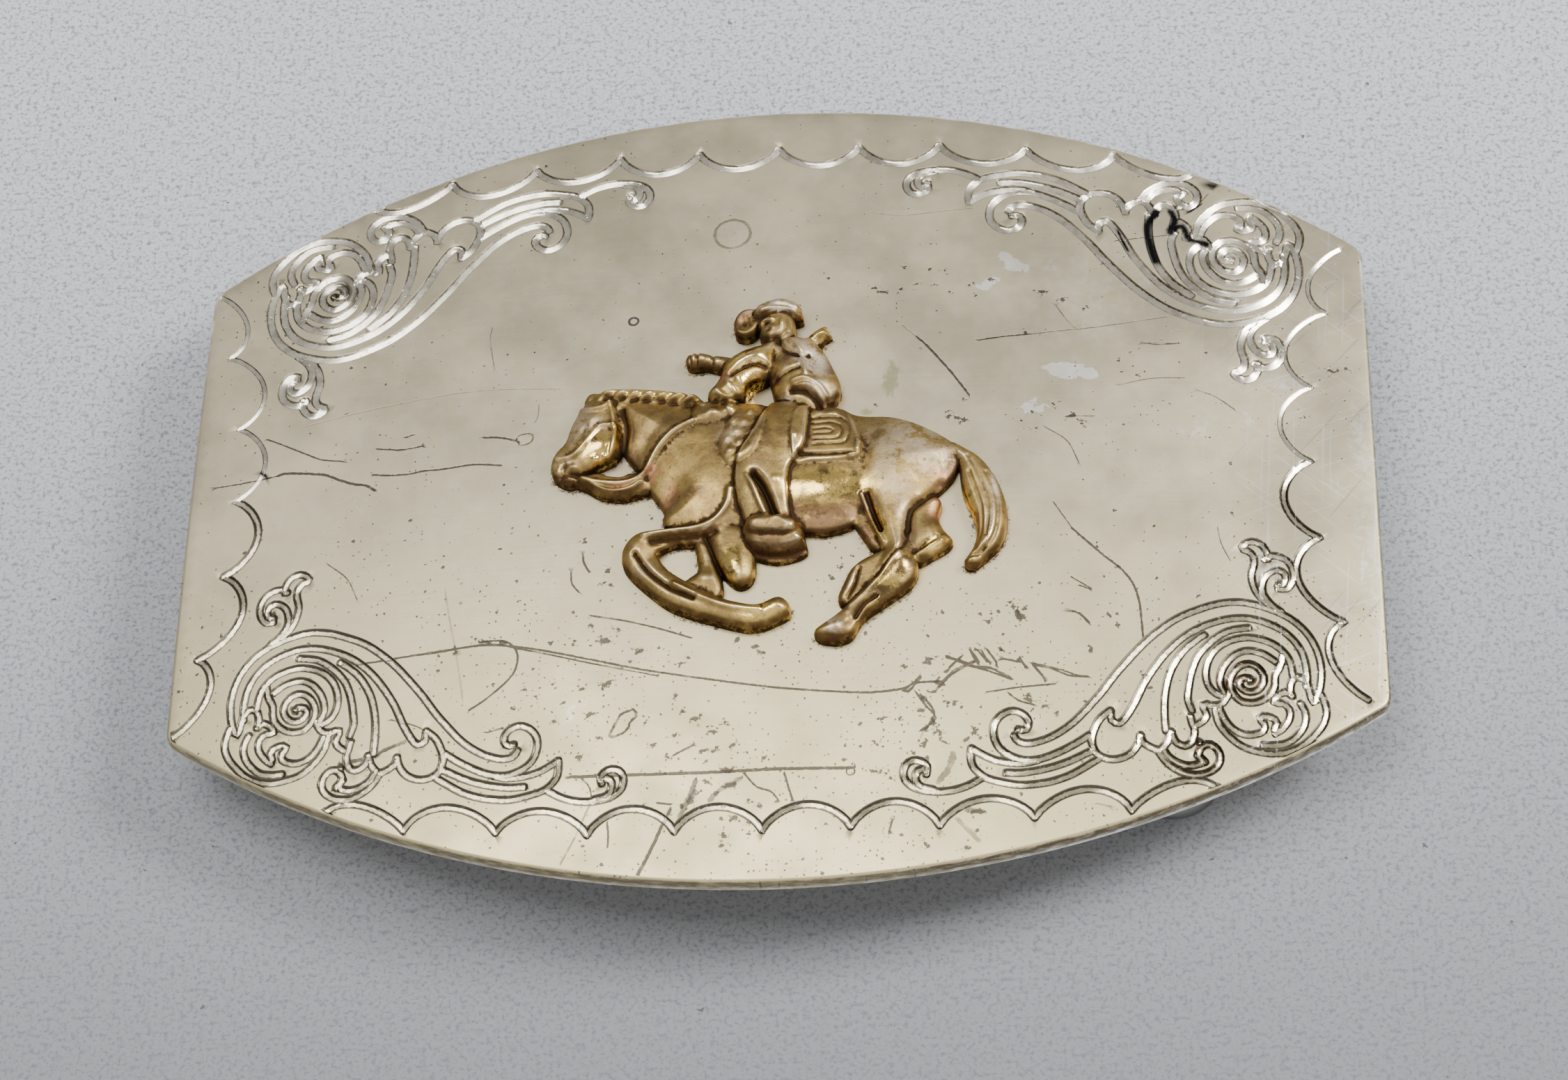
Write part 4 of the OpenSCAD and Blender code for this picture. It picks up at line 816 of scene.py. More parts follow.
class Paint:
    """A material whose colour is laid on coat by coat."""

    def __init__(self, name, colour):
        self.material = bpy.data.materials.new(name)
        self.material.use_nodes = True
        self.tree = self.material.node_tree
        self.shader = self.tree.nodes["Principled BSDF"]
        self.place = self.put("ShaderNodeTexCoord").outputs["Object"]
        self.colour = colour

    def put(self, kind, inputs=None, **settings):
        """Adds a node to the material."""
        return put(self.tree, kind, inputs, **settings)

    def noise(self, scale, detail=3.0, roughness=0.55, place=None):
        """Soft noise at a scale in waves a metre."""
        inputs = {"Vector": place or self.place, "Scale": scale, "Detail": detail, "Roughness": roughness}
        return Amount(self.put("ShaderNodeTexNoise", inputs).outputs["Fac"])

    def layer(self, name):
        """The number that the mesh keeps for each point under a name."""
        return Amount(self.put("ShaderNodeAttribute", attribute_name=name).outputs["Fac"])

    def axis(self, name):
        """The place along one axis, in metres."""
        return Amount(self.put("ShaderNodeSeparateXYZ", {"Vector": self.place}).outputs[name])

    def mapped(self, scale, turn=0.0, kind="POINT"):
        """The place turned about Z and scaled."""
        inputs = {"Vector": self.place, "Rotation": (0, 0, turn), "Scale": scale}
        return self.put("ShaderNodeMapping", inputs, vector_type=kind).outputs[0]

    def strayed(self, scale, reach):
        """The place nudged by a fine noise."""
        nudge = self.put("ShaderNodeTexNoise", {"Vector": self.place, "Scale": scale, "Detail": 2.0})
        nudge = self.put("ShaderNodeVectorMath", {0: nudge.outputs["Color"], 1: reach}, operation="MULTIPLY")
        return self.put("ShaderNodeVectorMath", {0: self.place, 1: nudge.outputs[0]}, operation="ADD").outputs[0]

    def flecks(self, place, scale, radius, share):
        """Small round flecks, one in each of a share of the cells at a scale."""
        cells = self.put("ShaderNodeTexVoronoi", {"Vector": place, "Scale": scale}, voronoi_dimensions="2D").outputs
        parts = self.put("ShaderNodeSeparateColor", {"Color": cells["Color"]}).outputs
        chosen = (share - Amount(parts["Red"])).ramp(0.0, 0.02)
        size = Amount(parts["Green"]).ramp(0.0, 1.0, radius * 0.45, radius)
        return chosen * (size - Amount(cells["Distance"])).ramp(0.0, radius * 0.3)

    def coat(self, factor, tint):
        """Lays a tint over the colour so far."""
        self.colour = mixed(self.tree, factor, self.colour, tint)

    def finish(self, metallic, roughness, relief, strength, distance):
        """Joins the colour, the gloss and the fine relief to the shader, and gives the material."""
        bump = self.put("ShaderNodeBump", {"Height": relief, "Strength": strength, "Distance": distance})
        feed(self.shader, {"Base Color": self.colour, "Metallic": metallic, "Roughness": roughness,
                           "Normal": bump.outputs[0]})
        return self.material


def worn_silver(settings):
    """Nickel silver with grime in its cuts, stains, pale worn patches, pits and fine scratches; painted highlights on
    the cuts' facets and along the edge, and painted shade with grime along the cuts' walls, on the side wall and
    round the casting.
    """
    paint = Paint("worn_nickel_silver", [c * 0.86 for c in settings.silver])
    noise, layer, coat = paint.noise, paint.layer, paint.coat
    coat(noise(55, 4).ramp(0.35, 0.68), settings.silver)
    coat(noise(900).ramp(0.3, 0.75) * 0.12, (0.9, 0.88, 0.82))

    lower = paint.axis("Y").ramp(-0.001, 0.001, 1.0, 0.0)
    aged = paint.axis("Y").ramp(-0.03, 0.004, 1.0, 0.0)
    coat(aged, [c * k for c, k in zip(settings.silver, (0.95, 0.935, 0.78))])
    ragged = noise(1500, 4, 0.7).ramp(0.38, 0.6)
    lobed = noise(700, 4, 0.65).ramp(0.32, 0.68, 0.45, 1.55)
    for name, tint, shape, low, high, reach in (("haze", (0.89, 0.88, 0.83), ragged, 0.12, 0.75, 0.8),
                                                ("pale", (0.95, 0.92, 0.84), lobed, 0.42, 0.5, 0.75),
                                                ("green", (0.3, 0.33, 0.15), lobed, 0.3, 0.6, 0.65),
                                                ("stain", (0.035, 0.03, 0.028), ragged, 0.12, 0.75, 1.0)):
        coat((layer(name) * shape).ramp(low, high, 0.0, reach), tint)

    strayed = paint.strayed(5200.0, (0.0003, 0.0003, 0.0003))
    worn = layer("specks") * noise(90).ramp(0.4, 0.6, 0.3, 1.3)
    pits = paint.flecks(strayed, 700.0, 0.12, worn * 0.24).most(paint.flecks(strayed, 2300.0, 0.2, worn * 0.3))
    coat(pits * 0.85, settings.grime)
    jitter = noise(3300, 2).ramp(0.25, 0.75, -0.3, 0.3)
    scratch = (layer("scratch") + jitter).ramp(0.02, 0.3) * layer("scratch").ramp(0.0, 0.12)
    scratch = scratch * layer("scratch_dark") * noise(800).ramp(0.35, 0.5, 0.6, 1.0)
    coat(scratch.ramp(0.0, 0.6, 0.0, 0.92), settings.grime)
    fleck = (layer("fleck") + jitter).ramp(0.3, 0.5) * layer("fleck").ramp(0.0, 0.15)
    coat(fleck * 0.88, settings.grime)

    cut = layer("cut")
    # Dark lines along the walls of each cut, wider and unbroken in the lower half: grime caught at the walls and
    # painted shade of the steep walls.
    inner_line = (cut + jitter * 0.45 + lower * 0.3).ramp(0.62, 0.84)
    outer_line = (cut - lower * 0.12).ramp(1.0, 1.17, 1.0, 0.0)
    broken = noise(320).ramp(0.3, 0.55, 0.4, 0.95).most(lower)
    inside_cut = cut.ramp(0.8, 1.0, 1.0, 0.0)
    # Painted highlight: the facets inside the cuts are lightened, more in the upper half, to stand for their glint.
    coat(inside_cut * lower.ramp(0.0, 1.0, 0.55, 0.15), (0.95, 0.92, 0.82))
    coat(inside_cut * noise(900, 4).ramp(0.42, 0.66, 0.0, 0.5), (0.3, 0.25, 0.17))
    line_tint = mixed(paint.tree, lower, (0.11, 0.088, 0.055), (0.09, 0.078, 0.052))
    coat(inner_line * outer_line * broken, line_tint)
    caked = cut.ramp(0.0, 0.35) * cut.ramp(1.05, 1.3, 1.0, 0.0) * layer("brown").ramp(0.05, 0.5)
    coat(caked * noise(1300, 4).ramp(0.35, 0.55, 0.5, 1.0), (0.04, 0.027, 0.016))
    # Painted shade with grime: ragged dark specks on the plate close round the casting's outline.
    casting_shade_and_grime = layer("contact_shade_and_grime").ramp(0.1, 1.0, 0.0, 0.38) * noise(210).ramp(0.4, 0.6, 0.55, 1.0)
    coat((casting_shade_and_grime + noise(3600, 4, 0.75)).ramp(0.82, 0.92, 0.0, 0.85), (0.07, 0.05, 0.03))

    mottled = noise(1.0, 5, 0.7, paint.mapped((700, 900, 2600)))
    # Painted shade with mottled grime: the upper band of the side wall below the face's edge is darkened, more at the
    # lower right corner.
    coat(layer("rim") * mottled.ramp(0.34, 0.6, 0.25, 0.85), (0.17, 0.135, 0.085))
    # Painted highlight: the side wall's lower band, a thin band along the top edge and the lower right corner are
    # made pale and less metallic so that they show bright.
    painted_edge_highlight = layer("painted_edge_highlight") * mottled.ramp(0.36, 0.56, 1.0, 0.2)
    coat(painted_edge_highlight, (0.98, 0.97, 0.93))
    for turn, grey in ((-0.7, 0.88), (0.9, 0.3), (1.5, 0.86), (0.4, 0.86)):
        hair = noise(1.0, 1, place=paint.mapped((0.009, 0.0003, 0.001), turn, "TEXTURE")).ramp(0.66, 0.72, 0.0, 0.5)
        coat(hair * paint.axis("X").ramp(0.028, 0.042, 0.1, 0.8), (grey, grey * 0.97, grey * 0.9))
    coat(layer("ink"), (0.012, 0.012, 0.013))

    rough = noise(140, 4).ramp(0.3, 0.7, 0.36, 0.5) + layer("stain") * 0.3 - inside_cut * 0.2
    brushed = noise(1.0, 2, place=paint.mapped((60, 2400, 600), 0.16))
    crossed = noise(1.0, 1, place=paint.mapped((90, 5200, 900), -0.7))
    relief = brushed * 0.25 + crossed * 0.2 + noise(420, 4) * 0.7 - pits.most(fleck).most(scratch * 1.5)
    return paint.finish(0.92 - painted_edge_highlight * 0.6, rough, relief, 0.35, 0.00003)


def gilt_casting(settings):
    """Cast brass with a gold wash that is dulled, worn bare in places and brown in its hollows; the brown in the
    hollows is also painted shade, as are the darker front-facing slopes and lower edges, and the brighter gold,
    silver and ridges are partly painted highlights.
    """
    paint = Paint("worn_gilt_casting", settings.dull)
    noise, layer, coat = paint.noise, paint.layer, paint.coat
    coat(noise(260, 5, 0.62).ramp(0.4, 0.6), (0.43, 0.3, 0.1))
    coat(noise(1200, 5, 0.7).ramp(0.42, 0.66) * 0.5, (0.2, 0.115, 0.045))
    polish, worn = layer("gold"), layer("bare")
    blotch = noise(640, 5, 0.7).ramp(0.34, 0.58)
    # Tints in order; gold and silver are partly painted highlight and brown partly painted shade, as well as wear,
    # polish and patina.
    for name, tint, reach in (("bare", settings.bare, 0.85), ("copper", (0.5, 0.22, 0.12), 0.7),
                              ("brown", (0.15, 0.085, 0.045), 0.85), ("silver", (0.8, 0.67, 0.52), 0.9),
                              ("gold", settings.gold, 0.88)):
        coat((layer(name) * blotch).ramp(0.05, 0.5, 0.0, reach), tint)
    coat(noise(2900, 4, 0.7).ramp(0.5, 0.68) * 0.4 * worn, (0.75, 0.72, 0.66))
    # Raised ridges made brighter gold and glossier: polish from wear, made brighter as painted highlight.
    ridge_polish_and_highlight = layer("ridge").ramp(0.35, 0.9) * noise(380, 4).ramp(0.4, 0.56, 0.1, 0.6)
    coat(ridge_polish_and_highlight, (1.0, 0.78, 0.42))
    ragged = noise(1900, 4, 0.7).ramp(0.3, 0.7, -0.3, 0.3)
    # Brown tarnish in the hollows that also stands for their shade: patina and painted shade.
    hollow = (layer("hollow") + ragged).ramp(0.1, 0.75)
    coat(hollow, settings.hollow)
    # Painted shade: slopes that face the front are darkened to brown, less where the gold wash is polished.
    front_slope_shade = layer("front_slope_shade") * noise(700, 4).ramp(0.3, 0.6, 0.5, 1.0) * polish.ramp(0.1, 0.7, 1.0, 0.3)
    coat(front_slope_shade * 0.88, (0.07, 0.036, 0.016))
    # Painted shade: a dark band along the casting's outline, strongest on its lower edges and on its upright wall.
    coat((layer("edge") + ragged).ramp(0.95, 1.12, 0.0, 0.95), (0.04, 0.022, 0.01))
    coat(noise(2600, 4, 0.7).ramp(0.62, 0.7) * 0.65, settings.hollow)
    feed(paint.shader, {"Specular Tint": (0.8, 0.72, 0.6, 1)})
    shine = polish.ramp(0.1, 0.6).most(ridge_polish_and_highlight)
    rough = noise(480, 4, 0.6).ramp(0.35, 0.65, 0.38, 0.52) - shine * 0.29 + worn * 0.12 + hollow.most(front_slope_shade) * 0.2
    return paint.finish(1.0, rough, noise(520, 5, 0.62) + noise(2300, 4, 0.7) * 0.35, 0.5, 0.00011)


def plated_steel(settings):
    """Plated steel wire with a dulled finish."""
    paint = Paint("dull_plated_steel", [c * 0.7 for c in settings.steel])
    paint.coat(paint.noise(240, 5, 0.6).ramp(0.35, 0.7), settings.steel)
    paint.coat(paint.noise(1700, 3, 0.6).ramp(0.64, 0.76, 0.0, 0.6), (0.12, 0.085, 0.05))
    return paint.finish(1.0, paint.noise(380).ramp(0.3, 0.7, 0.26, 0.44), paint.noise(1300, 4, 0.6), 0.3, 0.00004)


def pale_floor(settings):
    """Plain pale paper, darkened towards the front by painted shade."""
    paint = Paint("pale_floor", [c * 0.97 for c in settings.floor_colour])
    paint.coat(paint.noise(30).ramp(0.3, 0.7), settings.floor_colour)
    # Painted shade: the floor darkens towards the front.
    paint.coat(paint.axis("Y").ramp(-0.075, 0.06, 1.0, 0.0), [c * 0.34 for c in settings.floor_colour])
    for scale, reach in ((1500, 0.42), (3000, 0.75)):
        paint.coat(paint.noise(scale, 4, 0.7).ramp(0.48, 0.66, 0.0, reach), (0.16, 0.165, 0.19))
    lint = paint.flecks(paint.strayed(900.0, (0.0012, 0.0012, 0.0)), 190.0, 0.035, 0.16)
    paint.coat(lint * 0.75, (0.05, 0.05, 0.055))
    return paint.finish(0.0, 0.85, paint.noise(1400, 4, 0.6), 0.3, 0.0001)


def plate_ring(settings, inset, count=720):
    """The plate's outline moved inwards, as points in millimetres."""
    turns = np.linspace(0, 2 * math.pi, count, endpoint=False)
    c, s = np.abs(np.cos(turns)), np.abs(np.sin(turns))
    edge_radius = settings.edge_radius / MM - inset
    offset = (settings.edge_radius - settings.half_height) / MM
    straight = (settings.half_length / MM - inset) / np.maximum(c, 1e-9)
    arched = np.sqrt(edge_radius ** 2 - (offset * c) ** 2) - offset * s
    reach = np.minimum(np.minimum(straight, arched), settings.corner_reach / MM - inset)
    return np.stack([reach * np.cos(turns), reach * np.sin(turns)], 1)


def border_arcs(cusps, lows):
    """A stretch of the scalloped border, as short arcs from cusp to cusp."""
    arcs = []
    for start, low, end in zip(cusps[:-1], lows, cusps[1:]):
        start, low, end = np.array(start, float), np.array(low, float), np.array(end, float)
        t = np.linspace(-1, 1, 19)[:, None]
        arcs.append((start + end) / 2 + t * (end - start) / 2 + (low - (start + end) / 2) * (1 - t ** 2) ** 0.8)
    return arcs


def engraved_lines(spacing, top_width):
    """The engraved lines of one quarter of the face, in two groups. Each has its shift along X and its width."""
    scrolls = [through(points, spacing) for points in SCROLLS.values()]
    return ((border_arcs(BORDER_CUSPS_LONG, BORDER_LOWS_LONG) + scrolls, 0.0, top_width),
            (border_arcs(BORDER_CUSPS_SIDE, BORDER_LOWS_SIDE), END_BORDER_SHIFT, END_BORDER_SHARE * top_width))


def beside(run, offset):
    """A polyline moved sideways."""
    ahead = np.gradient(run, axis=0)
    ahead /= np.maximum(np.linalg.norm(ahead, axis=1), 1e-9)[:, None]
    return run + offset * np.stack([-ahead[:, 1], ahead[:, 0]], 1)


def circle(count):
    """Points round a circle with a radius of one; the last is the first again."""
    turns = np.linspace(0, 2 * math.pi, count)
    return np.stack([np.cos(turns), np.sin(turns)], 1)


def groove_ends(settings, run, shift, top_width, low_width):
    """Rings round both ends of a line in all four quarters, so that its grooves end round."""
    rings = []
    for end in (run[0], run[-1]):
        for mirror in MIRRORS:
            width = top_width if mirror[1] > 0 else low_width
            for reach in ROUND_END:
                rings.append(inside_plate(settings, end * mirror + (shift, 0) + reach * width * circle(13), 0.4))
    return [ring for ring in rings if len(ring) > 1]


def fleck_width(length):
    """How wide a fleck of a length is, in millimetres."""
    return 0.14 + 0.22 * length


def fleck_ring(x, y, length, turn, reach):
    """A closed oval line round a fleck, so that the mesh has points there."""
    cos_run, sin_run = circle(9).T
    along, across = reach * length / 2 * cos_run, reach * fleck_width(length) / 2 * sin_run
    c, s = math.cos(math.radians(turn)), math.sin(math.radians(turn))
    return np.stack([x + along * c - across * s, y + along * s + across * c], 1)


def fill_outline(ring, runs, loose):
    """Triangles that fill an outline and keep every line, with the points they use."""
    points = [Vector(p) for p in ring]
    edges = [(i, (i + 1) % len(ring)) for i in range(len(ring))]
    for run in runs:
        first = len(points)
        points.extend(Vector(p) for p in run)
        edges.extend((first + i, first + i + 1) for i in range(len(run) - 1))
    points.extend(Vector(p) for p in loose)
    flat, _, faces, _, _, _ = delaunay_2d_cdt(points, edges, [], 1, 1e-5)
    return np.array([tuple(p) for p in flat]), [tuple(f) for f in faces]


def rim_reach(settings, places, inset=0.0):
    """Distance from the middle to the moved outline, in the direction of each place."""
    ring = plate_ring(settings, inset)
    turns = np.arctan2(places[:, 1], places[:, 0]) % (2 * math.pi)
    reach = np.linalg.norm(np.vstack([ring, ring[:1]]), axis=1)
    return np.interp(turns, np.linspace(0, 2 * math.pi, len(ring) + 1), reach)


def inside_plate(settings, places, inset):
    """The places that lie inside the plate's outline."""
    return places[np.linalg.norm(places, axis=1) < rim_reach(settings, places, inset)]


def loose_points(settings, spacing, inset):
    """An even net of points inside the plate's outline."""
    columns = np.arange(-settings.half_length / MM, settings.half_length / MM, spacing)
    rows = np.arange(-settings.half_height / MM, settings.half_height / MM, spacing * 0.866)
    grid = np.array([(x + (j % 2) * spacing / 2, y) for j, y in enumerate(rows) for x in columns])
    return inside_plate(settings, grid, inset)


def guide_lines(settings, groups, strokes, low_width):
    """Every line that the mesh of the face keeps."""
    runs = []
    for lines, shift, top_width in groups:
        for run in lines:
            for offset in ACROSS_CUT:
                for mirror in MIRRORS:
                    width = top_width if mirror[1] > 0 else low_width
                    moved = beside(run, offset * width) * mirror + (shift, 0)
                    moved = inside_plate(settings, moved, settings.edge_round / MM + 0.02)
                    if len(moved) > 1:
                        runs.append(moved)
            runs.extend(groove_ends(settings, run, shift, top_width, low_width))
    for wide, run in strokes:
        runs.extend(beside(run, offset * wide) for offset in (-0.5, 0, 0.5))
    for place in PUNCHES:
        for reach in (0.3, 0.7, 1.0):
            ring = place + reach * PUNCH_RADIUS * circle(17)
            runs.extend(ring * mirror for mirror in MIRRORS)
    for x, y, length, turn in FLECKS:
        runs.extend(fleck_ring(x, y, length, turn, reach) for reach in (0.45, 1.3))
    return runs


def close_plate(settings, flat, down):
    """The plate's points below its flat face, and the faces that close its edge and its back."""
    edge = settings.edge_round / MM
    back_radius = settings.dome_radius - settings.thickness

    def on_face(places, down):
        metres = places * MM
        z = dome(metres[:, 0], metres[:, 1], settings.dome_radius, settings.face_height) - down * MM
        return np.column_stack([metres, z])

    def on_back(places, rise):
        metres = places * MM
        z = settings.face_height - settings.dome_radius + np.sqrt(back_radius ** 2 - (metres ** 2).sum(1))
        return np.column_stack([metres, z + rise * MM])

    arcs = [math.radians(18 * k) for k in range(1, 6)]
    rings = [on_face(plate_ring(settings, edge * (1 - math.sin(a))), edge * (1 - math.cos(a))) for a in arcs]
    rings += [on_back(plate_ring(settings, inset), rise)
              for inset, rise in ((0, 0.75), (0, BACK_ROUND), (0.07, 0.07), (BACK_ROUND, 0))]
    faces, count = [], len(flat)
    previous = ring_order(flat, plate_ring(settings, edge))
    for ring in rings:
        current = np.arange(count, count + len(ring))
        faces.extend(ring_quads(previous, current))
        previous, count = current, count + len(ring)
    back_ring = plate_ring(settings, BACK_ROUND)
    back_flat, back_faces = fill_outline(back_ring, [], loose_points(settings, BACK_NET, BACK_ROUND + 0.6))
    swap = {int(i) + count: int(rim) for i, rim in zip(ring_order(back_flat, back_ring), previous)}
    for face in back_faces:
        faces.append(tuple(swap.get(i + count, i + count) for i in reversed(face)))
    return np.vstack([on_face(flat, down), *rings, on_back(back_flat, 0)]), faces


def build_plate(settings):
    """The plate with its engraving, scratches and rounded edge, as one closed mesh."""
    edge = settings.edge_round / MM
    full_width, low_width = settings.groove_width / MM, settings.lower_groove_width / MM
    groups = engraved_lines(ENGRAVING_STEP, full_width)
    scratches = [(dark, wide, through(points, STROKE_STEP)) for dark, wide, points in SCRATCHES]
    scratches += [(dark, wide, (x, y) + radius * circle(25)) for dark, wide, x, y, radius in ETCHED_RINGS]
    stains = [(wide, through(points, ENGRAVING_STEP)) for wide, points in BLACK_STAINS]
    strokes = [(wide, run) for _, wide, run in scratches] + stains
    loose = loose_points(settings, WIDE_NET, edge + CLOSE_NET)
    near = loose_points(settings, CLOSE_NET, edge + CLOSE_NET)
    near = near[np.abs(near).max(1) < CASTING_REACH]
    near = near[np.abs(casting_depth(near[:, 0], near[:, 1]) + 0.4) < 0.8]
    flat, faces = fill_outline(plate_ring(settings, edge), guide_lines(settings, groups, strokes, low_width),
                               np.vstack([loose, near]))
    groove, cut = np.zeros(len(flat)), np.full(len(flat), 9.0)
    for lines, shift, top_width in groups:
        width = np.where(flat[:, 1] > 0, top_width, low_width)
        shifted = flat - (shift, 0)
        deep, away = groove_shape(np.abs(shifted), np.sign(shifted), lines, width)
        groove, cut = np.maximum(groove, deep * width / full_width), np.minimum(cut, away)
    strike = np.where(flat[:, 1] > 0, 1.1, 1.1 * low_width / full_width)
    for place in PUNCHES:
        away = np.linalg.norm(np.abs(flat) - place, axis=1) / PUNCH_RADIUS
        groove = np.maximum(groove, strike * np.clip(1 - away ** 2, 0, 1))
        cut = np.minimum(cut, away)
    scratch, darkness, stained, fleck = np.zeros((4, len(flat)))
    for dark, wide, run in scratches:
        away = 2 * distance_to_runs(flat, [run]) / wide
        darkness = np.where(away < 1.4, np.maximum(darkness, dark), darkness)
        scratch = np.maximum(scratch, np.clip(1 - away, 0, 1))
    for wide, run in stains:
        stained = np.maximum(stained, np.clip(1.8 - 3.6 * distance_to_runs(flat, [run]) / wide, 0, 1))
    for x, y, length, turn in FLECKS:
        spread = oval(flat[:, 0], flat[:, 1], (x, y), length * 0.62, fleck_width(length) * 0.62, turn)
        fleck = np.maximum(fleck, spread)
    # The nearness to the casting's outline carries the painted shade and grime round the casting.
    layers = {"cut": np.clip(cut, 0, CUT_REACH), "scratch": scratch, "scratch_dark": darkness, "ink": stained,
              "contact_shade_and_grime": np.clip(1 + casting_depth(flat[:, 0], flat[:, 1]) / 0.9, 0, 1), "fleck": fleck}
    points, closing = close_plate(settings, flat, groove * settings.groove_depth / MM)
    return points, faces + closing, layers


def ring_order(flat, ring):
    """Which of the filled outline's points are the ring's, in the ring's order."""
    return np.array([int(np.argmin(((flat - place) ** 2).sum(1))) for place in ring])


def ring_quads(upper, lower):
    """Faces between two rings of the same number of points."""
    count = len(upper)
    return [(int(upper[i]), int(lower[i]), int(lower[(i + 1) % count]), int(upper[(i + 1) % count]))
            for i in range(count)]


def drop_unused(points, faces):
    """Leaves out the points that no face uses, and says which were kept."""
    used = np.zeros(len(points), bool)
    used[[i for face in faces for i in face]] = True
    number = np.cumsum(used) - 1
    return points[used], [tuple(int(number[i]) for i in face) for face in faces], used


def patch_values(x, y, rows):
    """The strength of one kind of patch at each place."""
    value = np.zeros(len(x))
    for px, py, half_length, half_width, turn, strength in rows:
        value = np.maximum(value, strength * oval(x, y, (px, py), half_length, half_width, turn))
    return value


class BUCKLE_OT_plate(bpy.types.Operator):
    """Builds the domed plate with its engraved scrolls and border"""

    bl_idname = "buckle.plate"
    bl_label = "Engraved plate"

    def execute(self, context):
        settings = context.scene.buckle_plate
        points, faces, layers = build_plate(settings)
        whole = len(points)
        points, faces, used = drop_unused(points, faces)
        made = new_object("engraved_plate", points, faces, worn_silver(settings), sharp=50)
        x, y = points[:, 0] / MM, points[:, 1] / MM
        for name, values in layers.items():
            beyond = CUT_REACH if name == "cut" else 0
            add_values(made, name, np.concatenate([values, np.full(whole - len(values), beyond)])[used])
        inset = rim_reach(settings, np.stack([x, y], 1)) * MM - np.linalg.norm(points[:, :2], axis=1)
        drop = dome(points[:, 0], points[:, 1], settings.dome_radius, settings.face_height) - points[:, 2]
        below = drop / settings.thickness
        side = inset < 0.0002
        # The side wall's upper band, for painted shade with grime; more at the lower right corner.
        rim = side * np.clip((below - 0.03) / 0.04, 0, 1) * np.clip((0.62 - below) / 0.1, 0, 1)
        # The side wall's lower band and a thin band along the top edge, for the painted highlight; more at the lower
        # right corner.
        low_side = side * np.clip((below - 0.5) / 0.1, 0, 1) * np.clip((1 - below) / 0.1, 0, 1)
        top_edge = (inset < 0.0004) * np.clip((y - 10) / 8, 0, 1) * np.clip(below / 0.02, 0, 1)
        top_edge = top_edge * np.clip((0.2 - below) / 0.1, 0, 1)
        corner = np.clip((x - 10) / 10, 0, 1) * np.clip((-14 - y) / 5, 0, 1)
        add_values(made, "rim", rim * (1 + 0.6 * corner))
        add_values(made, "painted_edge_highlight", np.maximum(low_side * (1 + 1.5 * corner), 0.9 * top_edge))
        for kind, rows in PATCHES.items():
            add_values(made, kind, patch_values(x, y, rows) * (drop < 0.0004))
        add_values(made, "specks", 0.2 + 0.8 * np.clip((-4 - y) / 14, 0, 1) + 0.15 * (np.abs(x) > 24))
        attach(made, "root")
        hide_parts("plate")
        return {"FINISHED"}


def pillow(inside, shoulder):
    """0 at a form's edge, 1 past its shoulder, and round between."""
    t = np.clip(inside / shoulder, 0, 1)
    return 0.4 * np.sqrt(np.clip(1 - (1 - t) ** 2, 0, 1)) + 0.6 * (1 - (1 - t) ** 1.8)


def melt(first, second, reach=0.35):
    """The higher of two surfaces, with the valley between them filled softly."""
    near = np.clip(reach - np.abs(first - second), 0, None) / reach
    return np.maximum(first, second) + near * near * reach * 0.25


def soften(height, passes):
    """Evens a surface out a little."""
    for _ in range(passes):
        padded = np.pad(height, 1, mode="edge")
        height = (4 * height + padded[:-2, 1:-1] + padded[2:, 1:-1] + padded[1:-1, :-2] + padded[1:-1, 2:]) / 8
    return height


def casting_depth(x, y):
    """How far each place lies inside the casting's outline; it is negative outside."""
    depth = np.full(x.shape, -9.0)
    for name, how, edge, crown, shoulder, outline in FORMS:
        if how != "lay":
            shape = through(outline, OUTLINE_STEP, closed=True)
            low, high = shape.min(0) - 1.5, shape.max(0) + 1.5
            part = (x > low[0]) & (x < high[0]) & (y > low[1]) & (y < high[1])
            depth[part] = np.maximum(depth[part], depth_inside(x[part], y[part], shape))
    for hole in HOLES:
        depth = np.minimum(depth, -depth_inside(x, y, through(hole, 0.3, closed=True)))
    return depth


